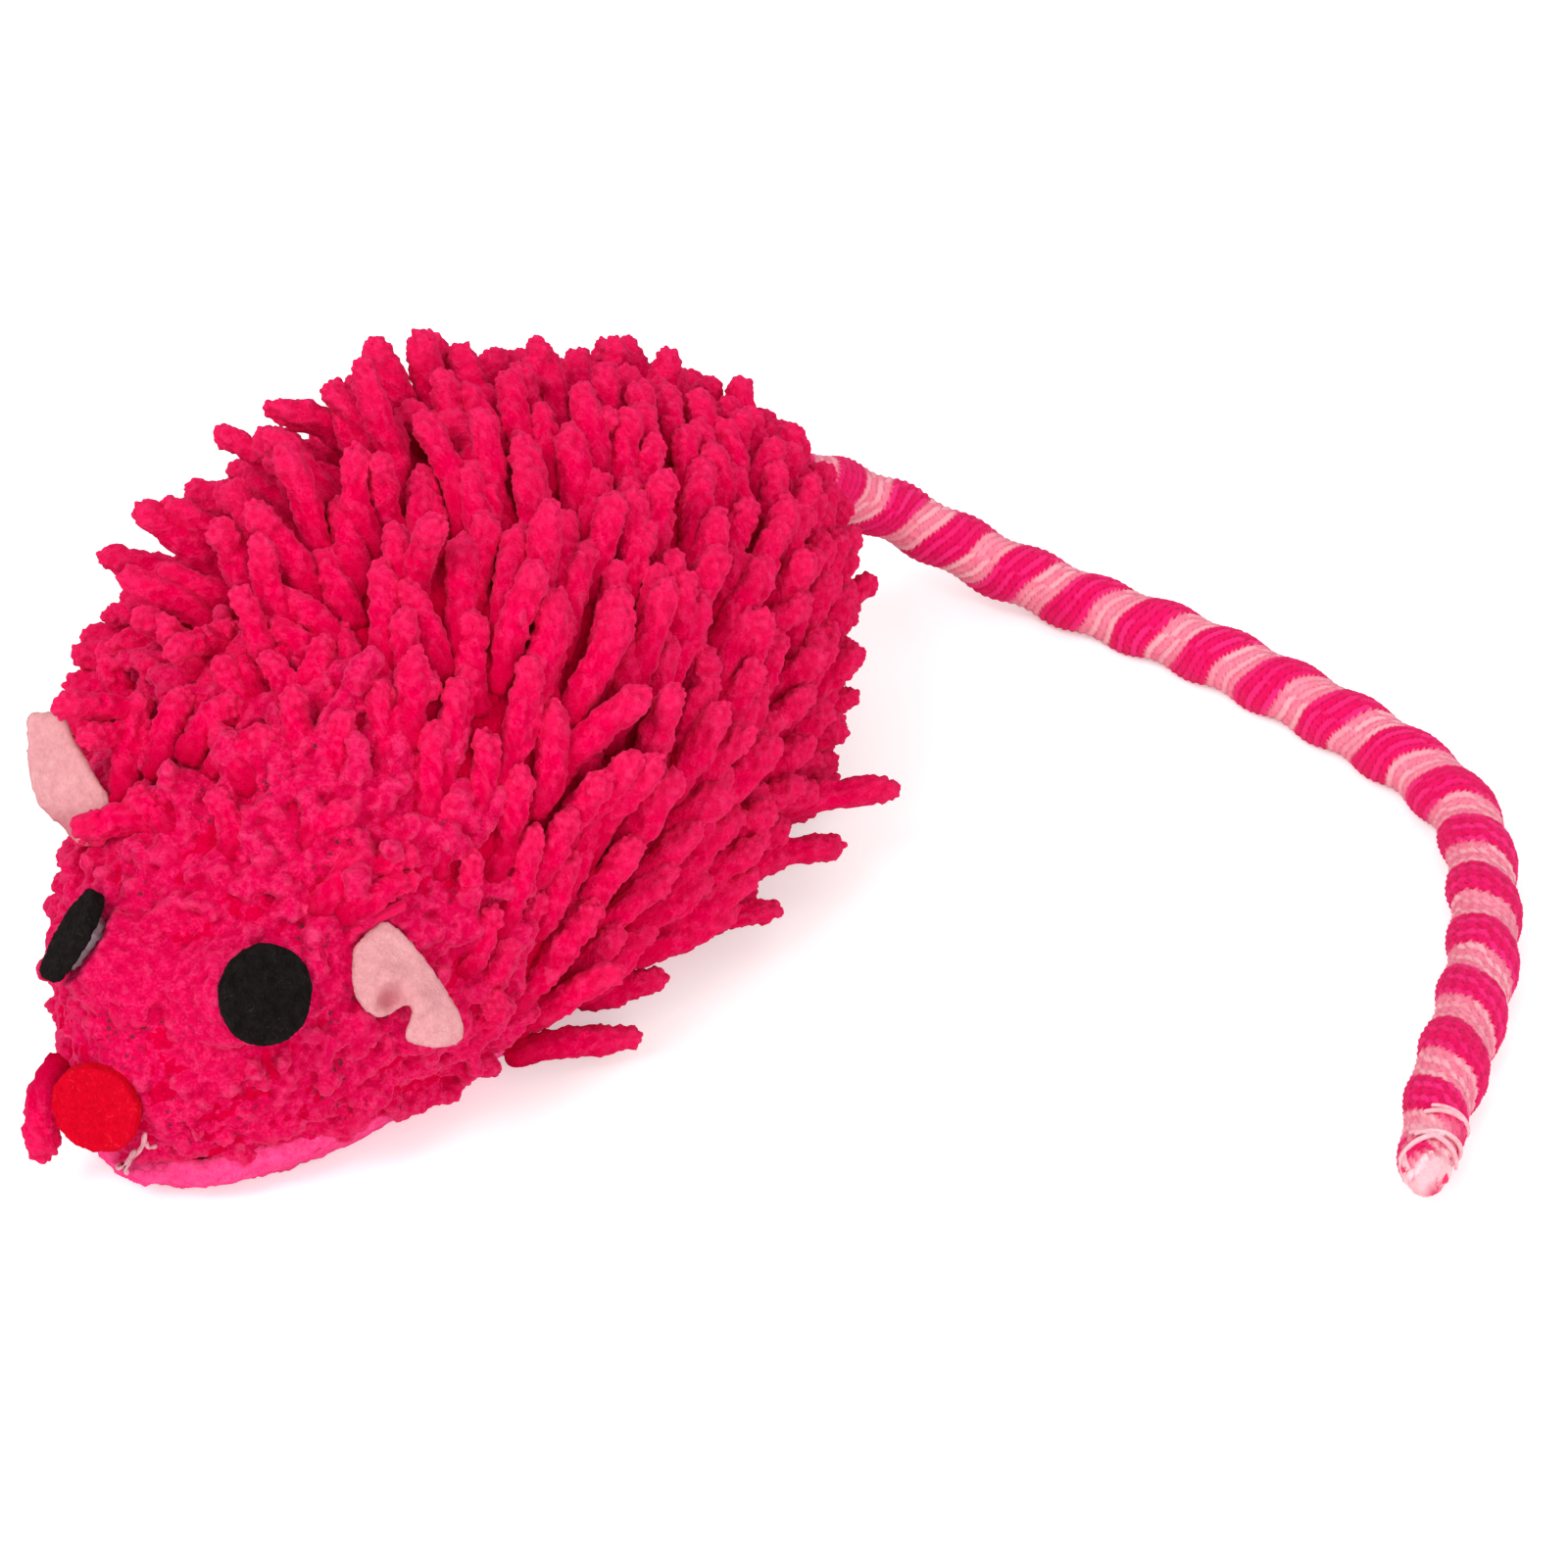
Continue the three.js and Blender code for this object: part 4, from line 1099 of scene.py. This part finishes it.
def make_thin_pile():
    points = []
    for s in np.linspace(0.02, 1, PILE_RINGS) ** 1.6 * (FACE_LENGTH + FACE_LAP) / BODY_LENGTH:
        edge = seam_angle(s)
        angles = np.linspace(edge, math.pi - edge, PILE_COLUMNS)
        row = body_point(s, angles)
        normal = body_frame(s, angles)[0]
        points.append(row + PILE_LIFT * normal)
    return grid_piece("face_pile", points, face_pile)


thin_pile = make_thin_pile()
roughen(thin_pile, size=3.5 * MM, height=1.4 * MM)
apply_modifier(thin_pile, "SOLIDIFY", thickness=PILE_THICKNESS, offset=-1)
print("thin pile faces", len(thin_pile.data.polygons))

# %% Room under the felt
FELT_CLEARANCE = 0.7 * MM
FELT_REACH = 7 * MM

felt_discs = [(*eye_place(name), EYE_DIAMETER) for name in EYES]
felt_discs.append((nose_place, nose_facing, NOSE_DIAMETER))


def felt_room(points):
    """The room from each place up to the felt over it, without end where there is none"""
    room = np.full(len(points), np.inf)
    for place, facing, diameter in felt_discs:
        away = points - place
        below = -(away @ facing)
        flat = away + np.outer(below, facing)
        under = np.linalg.norm(flat, axis=1) < diameter / 2 + FELT_CLEARANCE
        room = np.where(under & (below < FELT_REACH), np.minimum(room, below), room)
    return room


print("felt discs to keep clear of", len(felt_discs))

# %% Places for tufts
TUFT_TRIES = 4000
TUFT_LAP = 3 * MM
TUFT_ABOVE_SEAM = 1.2 * MM
TUFT_ROOM = 3.2 * MM


def scatter(spacing, fits):
    """Places on the face that fit, none closer to another than the spacing"""
    s = random.uniform(0, 1, TUFT_TRIES) ** 0.8 * (FACE_LENGTH + TUFT_LAP) / BODY_LENGTH
    angle = random.uniform(-math.pi / 2, 1.5 * math.pi, TUFT_TRIES)
    points = body_point(s, angle)
    kept = []
    for i in np.flatnonzero(fits(points)):
        if not kept or np.linalg.norm(points[kept] - points[i], axis=1).min() > spacing:
            kept.append(i)
    return s[kept], angle[kept]


def holds_tuft(points):
    return (felt_room(points) > TUFT_ROOM) & (points[:, 2] > SEAM_HEIGHT + TUFT_ABOVE_SEAM)


print("tries for a tuft", TUFT_TRIES)

# %% Eye mounds
PAD_GAPS = {"left": 0.5 * MM, "right": 1.0 * MM}
PAD_DEPTH = 7 * MM
PAD_FLARE = 1.8 * MM
PAD_INSET = 0.4 * MM


def make_pad(name):
    """A mound of pile that carries an eye"""
    place, facing = eye_place(name)
    top = -PAD_GAPS[name]
    bpy.ops.object.select_all(action="DESELECT")
    bpy.ops.mesh.primitive_cone_add(
        vertices=DISC_SIDES, depth=PAD_DEPTH,
        radius1=EYE_DIAMETER / 2 + PAD_FLARE, radius2=EYE_DIAMETER / 2 - PAD_INSET,
        location=(0, 0, top - PAD_DEPTH / 2))
    pad = bpy.context.object
    bpy.ops.object.transform_apply(location=True)
    pad.data.materials.append(face_pile)
    pad.data.transform(Matrix.Translation(place) @ facing_turn(facing))
    return pad


print("eye mounds", list(PAD_GAPS))

# %% Flat tufts
SNOUT_LENGTH = 14 * MM
TUFT_LENGTHS = (3.0, 5.5)
TUFT_RADII = (1.1, 1.6)
TUFT_ROOT_DEPTH = 0.4 * MM
RAGGED_SHARE = 0.12


def tuft_copies(s, angle):
    roots = body_point(s, angle)
    normal, over = body_frame(s, angle)
    along = np.cross(over, normal)
    heading = random.normal(0.5, 0.9, len(s))[:, None]
    lying = np.cos(heading) * along + np.sin(heading) * over
    ragged = (random.uniform(size=len(s)) < RAGGED_SHARE)[:, None]
    starts = unit(lying + np.where(ragged, 0.8, 0.35) * normal)
    ends = unit(lying + np.where(ragged, 0.5, -0.25) * normal)
    grown = np.clip(s * BODY_LENGTH / SNOUT_LENGTH, 0.4, 1.55)
    lengths = grown * random.uniform(*TUFT_LENGTHS, len(s)) * MM
    radii = (0.6 + 0.4 * np.minimum(grown, 1)) * random.uniform(*TUFT_RADII, len(s)) * MM
    tips = roots + (lengths / 2)[:, None] * (starts + ends)
    lengths = np.where(felt_room(tips) > TUFT_ROOM, lengths, 0.5 * lengths)
    return roots - TUFT_ROOT_DEPTH * normal, starts, ends, lengths, radii


print("tuft lengths about", TUFT_LENGTHS, "mm")

# %% Face pile
TUFT_SPACING = 2.5 * MM
PILE_GRAIN = 0.373 * MM
PILE_REACH = 0.6

lying = tuft_copies(*scatter(TUFT_SPACING, holds_tuft))
tufts = tuft_piece("face_tufts", lying, face_pile, 1)
roughen(tufts, size=2.0 * MM, height=1.2 * MM)
pads = [make_pad(name) for name in EYES]
only(thin_pile)
for part in (tufts, *pads):
    part.select_set(True)
bpy.ops.object.join()
apply_modifier(thin_pile, "REMESH", mode="VOXEL", voxel_size=PILE_GRAIN)
apply_modifier(thin_pile, "SMOOTH", factor=0.5, iterations=2)
roughen(thin_pile, size=2.4 * MM, height=1.1 * MM)
roughen(thin_pile, size=0.9 * MM, height=0.45 * MM)
granulate(thin_pile, size=0.8 * MM, height=0.4 * MM)
give_attribute(thin_pile, "reach", np.full(len(thin_pile.data.vertices), PILE_REACH))
set_down(thin_pile, "mouse", "chenille")
print("tufts", len(lying[0]))

# %% Matted fingers
MATTED_SPACING = 4.6 * MM
MATTED_ABOVE = 26 * MM
MATTED_FROM_NOSE = 15 * MM
MATTED_HALF_WIDTH = 15 * MM
RIGHT_EAR_PLACE = np.array((-11.6, -44.5, 30.5)) * MM
RIGHT_EAR_CLEARANCE = 9 * MM
MATTED_LENGTHS = (6.5, 9.0)
MATTED_RADII = (1.4, 1.7)
MATTED_ROOT_DEPTH = 0.6 * MM


def holds_matted(points):
    on_forehead = (points[:, 1] > MATTED_FROM_NOSE - BODY_LENGTH / 2) & (points[:, 2] > MATTED_ABOVE)
    near_middle = abs(points[:, 0]) < MATTED_HALF_WIDTH
    off_ear = np.linalg.norm(points - RIGHT_EAR_PLACE, axis=1) > RIGHT_EAR_CLEARANCE
    return on_forehead & near_middle & off_ear & (felt_room(points) > TUFT_ROOM)


def matted_copies(s, angle):
    roots = body_point(s, angle)
    normal, over = body_frame(s, angle)
    heading = random.normal(0.3, 0.5, len(s))[:, None]
    lying = np.cos(heading) * np.cross(over, normal) + np.sin(heading) * over
    starts = unit(lying + 0.55 * normal)
    ends = unit(lying + 0.05 * normal + random.normal(0, 0.3, roots.shape))
    lengths = random.uniform(*MATTED_LENGTHS, len(s)) * MM
    radii = random.uniform(*MATTED_RADII, len(s)) * MM
    return roots - MATTED_ROOT_DEPTH * normal, starts, ends, lengths, radii


matted = matted_copies(*scatter(MATTED_SPACING, holds_matted))
woolly(tuft_piece("fingers_matted", matted, finger_pile, 2))
print("matted fingers", len(matted[0]))

# %% [markdown]
# ## Velour base
# A brighter, smoother pink velour closes the body underneath. It is a grid by the body's own rule, as the
# cover is, so the two meet at the seam. It is pressed flat where the toy stands. Under the chin it is
# plumper, and its edge laps up under the pile.

# %% Velour base
CHIN_PLUMP = 2.6 * MM
CHIN_SHARE = 0.25
CHIN_ROUND = 2.5 * MM
CHIN_SWELL = 0.28
CHIN_LAP = 0.17
CHIN_LAP_BY = 0.06
BASE_RINGS = 110
BASE_COLUMNS = 60
BASE_FLOOR_GAP = 0.15 * MM


def make_base():
    s_all = np.linspace(0.0005, 0.9995, 4000)
    low = body_point(s_all, -math.pi / 2)[:, 2] < SEAM_HEIGHT
    first, last = s_all[low][0], s_all[low][-1]
    points = []
    for share in (1 - np.cos(np.linspace(0, math.pi, BASE_RINGS))) / 2:
        s = first + (last - first) * share
        chin = max(0, 1 - s / CHIN_SHARE)
        edge = seam_angle(s) + CHIN_LAP * chin * min(1, share / CHIN_LAP_BY)
        angles = np.linspace(-math.pi - edge, edge, BASE_COLUMNS)
        row = body_point(s, angles)
        normal = body_frame(s, angles)[0]
        walked = arc_lengths(row)
        from_seam = np.minimum(walked, walked[-1] - walked)
        plump = CHIN_PLUMP * chin * np.clip(from_seam / CHIN_ROUND, 0, 1) ** CHIN_SWELL
        row = row + plump[:, None] * normal
        row[:, 2] = np.maximum(row[:, 2], BASE_FLOOR_GAP)
        points.append(row)
    base = grid_piece("base_velour", points, velour)
    subdivide(base, 1)
    roughen(base, size=2.4 * MM, height=1.0 * MM)
    roughen(base, size=1.0 * MM, height=0.5 * MM)
    granulate(base, size=0.7 * MM, height=0.3 * MM)
    apply_modifier(base, "SOLIDIFY", thickness=CLOTH_THICKNESS, offset=-1)
    return base


base = make_base()
set_down(base, "mouse", "velour", "base_panel")

# %% [markdown]
# ## Glue strings
# A little hot glue was drawn out into strings when the nose was set, and they run from its lower edge to the
# chin. Each is a thin, uneven tube that follows a few points on the pile and ends inside it.

# %% Glue strings
STRING_RADIUS = 0.25 * MM
STRING_STEP = 0.12 * MM
STRING_LINES = (
    ((4.6, -58.4, 11.0), (4.2, -58.5, 9.4), (3.0, -58.6, 7.4), (1.5, -58.3, 5.2), (0.6, -57.4, 3.4)),
    ((4.3, -58.2, 9.6), (4.3, -58.0, 9.0), (4.0, -57.6, 8.3), (4.2, -56.6, 8.0)),
    ((3.4, -58.8, 8.6), (2.2, -58.9, 6.6), (0.6, -58.4, 4.8), (-0.4, -57.4, 4.2)),
)


def make_glue_strings():
    lines = []
    sizes = []
    for knots in STRING_LINES:
        line, steps = smooth_line(np.array(knots) * MM, STRING_STEP)
        share = steps / steps[-1]
        lines.append(line)
        sizes.append(STRING_RADIUS * (0.75 + 0.35 * np.sin(9 * share) + 0.2 * np.sin(23 * share)))
    return tubes_piece("nose_glue_strings", lines, sizes, 8, string_glue)


glue_strings = make_glue_strings()
set_down(glue_strings, "mouse", "glue")

# %% [markdown]
# ## Felt ears
# Each ear is a petal of thick felt, tacked at its narrow end. The cut is drawn as a closed outline and given
# its thickness while flat; an even remesh then lets it be bent. The left ear is pinched into a pocket, so
# its lower edge makes two lobes; the right one twists towards the front as it stands up. A tack's place on
# the cover, its turn and the ear's lean follow the same rule as in the solids.
# Each ear is darkened in one spot with painted shade, the left one in its pocket.

# %% Ear cuts
EARS = {
    "left": {
        "side": 1, "back": 21 * MM, "angle": 34, "turn": -13, "lean": -76,
        "cup": -0.03, "twist": 0, "pocket": (-2.5, 7.4, 1.2),
        "cut": (
            (0.3, 0.6), (-1.4, 0.8), (-3.4, 1.7), (-4.3, 3.3), (-5.0, 4.9), (-5.1, 6.5), (-4.6, 8.0),
            (-3.6, 8.6), (-2.2, 8.7), (-1.2, 8.4), (-1.2, 9.2), (-1.6, 10.1), (-2.4, 10.9), (-2.6, 11.7),
            (-1.2, 13.1), (0.0, 13.8), (1.0, 14.1), (2.1, 13.9), (2.7, 13.0), (2.9, 11.7), (2.8, 9.7),
            (2.6, 7.7), (2.2, 5.3), (1.6, 3.1), (1.0, 1.4),
        ),
        "dents": (
            (-2.4, 7.6, 1.2, -1.9), (-2.0, 5.4, 1.5, 1.1), (-0.1, 9.0, 1.4, 1.1), (-1.8, 11.6, 1.2, -1.0),
        ),
    },
    "right": {
        "side": -1, "back": 14.6 * MM, "angle": 51, "turn": -79, "lean": 60,
        "cup": -0.02, "twist": 35, "pocket": (3.0, 1.0, 2.0),
        "cut": (
            (2.4, -0.3), (4.2, 2.1), (5.3, 4.9), (5.6, 7.7), (5.2, 10.4), (4.7, 12.7), (2.8, 12.8),
            (1.0, 12.4), (-0.4, 9.0), (-1.8, 5.8), (-3.0, 3.0), (-1.9, 0.0),
        ),
        "dents": ((3.0, 5.0, 3.0, 0.4),),
    },
}
print("ears", list(EARS))

# %% Ear places
TACK_HEIGHT = 0.9 * MM


def ear_place(ear):
    """The tack on the cover, the hinge along it and the way the felt reaches"""
    s = ear["back"] / BODY_LENGTH
    angle = math.radians(ear["angle"])
    normal = Vector(body_frame(s, angle)[0])
    along = Vector(body_point(s + 1e-3, angle) - body_point(s - 1e-3, angle)).normalized()
    hinge = Matrix.Rotation(math.radians(ear["turn"]), 3, normal) @ along
    reach = Matrix.Rotation(math.radians(-ear["lean"]), 3, hinge) @ normal
    tack = Vector(body_point(s, angle)) + TACK_HEIGHT * normal
    mirror = np.array((ear["side"], 1, 1))
    return [np.array(vector) * mirror for vector in (tack, hinge, reach)]


print("tacks", [(ear_place(ear)[0] / MM).round(1).tolist() for ear in EARS.values()])

# %% Felt ears
EAR_FELT = 1.1 * MM
EAR_GRAIN = 0.3 * MM
OUTLINE_STEP = 0.02
OUTLINE_COUNT = 120
TWIST_BY = 4


def closed_line(points, count):
    """A smooth closed line through the points, in equal steps"""
    looped = np.vstack([points[-3:], points, points[:4]])
    line = smooth_line(looped, OUTLINE_STEP)[0]
    first = np.argmin(np.linalg.norm(line[: len(line) // 2] - points[0], axis=1))
    last = len(line) // 2 + np.argmin(np.linalg.norm(line[len(line) // 2 :] - points[0], axis=1))
    return line[np.linspace(first, last, count, endpoint=False).round().astype(int)]


def make_ear(name):
    ear = EARS[name]
    tack, hinge, reach = ear_place(ear)
    outline = closed_line(np.array([(u, v, 0.0) for u, v in ear["cut"]]), OUTLINE_COUNT)
    felt = mesh_piece(f"ear_felt_{name}", outline * MM, [range(len(outline))], pink_felt)
    apply_modifier(felt, "SOLIDIFY", thickness=EAR_FELT, offset=0)
    apply_modifier(felt, "REMESH", mode="VOXEL", voxel_size=EAR_GRAIN)
    apply_modifier(felt, "SMOOTH", factor=0.5, iterations=4)
    u, v, w = mesh_points(felt).T / MM
    raised = w + ear["cup"] * u**2
    for dent_u, dent_v, size, depth in ear["dents"]:
        raised = raised + depth * np.exp(-((u - dent_u) ** 2 + (v - dent_v) ** 2) / size**2)
    turned = np.radians(ear["twist"]) * np.clip(v / TWIST_BY, 0, 1)
    across = np.cos(turned)[:, None] * hinge + np.sin(turned)[:, None] * np.cross(reach, hinge)
    offset = u[:, None] * across + v[:, None] * reach + raised[:, None] * np.cross(reach, across)
    move_points(felt, tack + offset * MM)
    # The pocket entry gives the middle and size of a spot of painted shade
    pocket_u, pocket_v, size = ear["pocket"]
    give_attribute(felt, "fold", np.exp(-((u - pocket_u) ** 2 + (v - pocket_v) ** 2) / size**2))
    mend(felt)
    roughen(felt, size=1.0 * MM, height=0.3 * MM)
    roughen(felt, size=0.4 * MM, height=0.25 * MM)
    set_down(felt, f"{name}_ear", "pink_felt", f"ear_{name}")


for name in EARS:
    make_ear(name)

# %% [markdown]
# ## Floor and light
# The photograph has a white ground and soft light from all round. A gentle key stands above the camera's
# left and a fill at its right. The floor is white to the camera and keeps a faint shadow of the toy.

# %% Floor and light
FLOOR_SIZE = 6.0
FLOOR_DROP = 0.02 * MM


def white_to_camera(tree, light_strength, camera_strength):
    path = add_node(tree, "ShaderNodeLightPath").outputs
    seen = path["Is Camera Ray"]
    for ray in ("Is Glossy Ray", "Is Transmission Ray"):
        seen = add_node(tree, "ShaderNodeMath", {0: seen, 1: path[ray]}, operation="MAXIMUM").outputs[0]
    return stretch(tree, seen, 0, 1, light_strength, camera_strength)


bpy.ops.object.select_all(action="DESELECT")
bpy.ops.mesh.primitive_plane_add(size=FLOOR_SIZE, location=(0, 0, -FLOOR_DROP))
floor = bpy.context.object
floor.name = "floor"
paper, tree, shader = new_material("paper_floor")
set_finish(shader, base_color=(0.92, 0.92, 0.92, 1), roughness=0.9)
shader.inputs["Emission Color"].default_value = (1, 1, 1, 1)
glow = white_to_camera(tree, light_strength=0.0, camera_strength=0.35)
tree.links.new(glow, shader.inputs["Emission Strength"])
floor.data.materials.append(paper)

world = bpy.data.worlds.new("studio")
bpy.context.scene.world = world
world.use_nodes = True
background = world.node_tree.nodes["Background"]
background.inputs["Color"].default_value = (1, 1, 1, 1)
strength = white_to_camera(world.node_tree, light_strength=0.75, camera_strength=1.0)
world.node_tree.links.new(strength, background.inputs["Strength"])
print("floor", floor.name, "world", world.name)

# %% Softboxes
LIT_PLACE = Vector((0.02, 0, 0.02))


def add_softbox(name, place, size, power):
    bpy.ops.object.select_all(action="DESELECT")
    bpy.ops.object.light_add(type="AREA", location=place)
    lamp = bpy.context.object
    lamp.name = name
    lamp.data.shape = "DISK"
    lamp.data.size = size
    lamp.data.energy = power
    lamp.rotation_euler = (LIT_PLACE - Vector(place)).to_track_quat("-Z", "Y").to_euler()


add_softbox("key", (-0.25, -0.75, 1.0), size=0.7, power=8.0)
add_softbox("fill", (0.9, -0.6, 0.5), size=0.8, power=6.0)
print("softboxes", [light.name for light in bpy.data.lights])
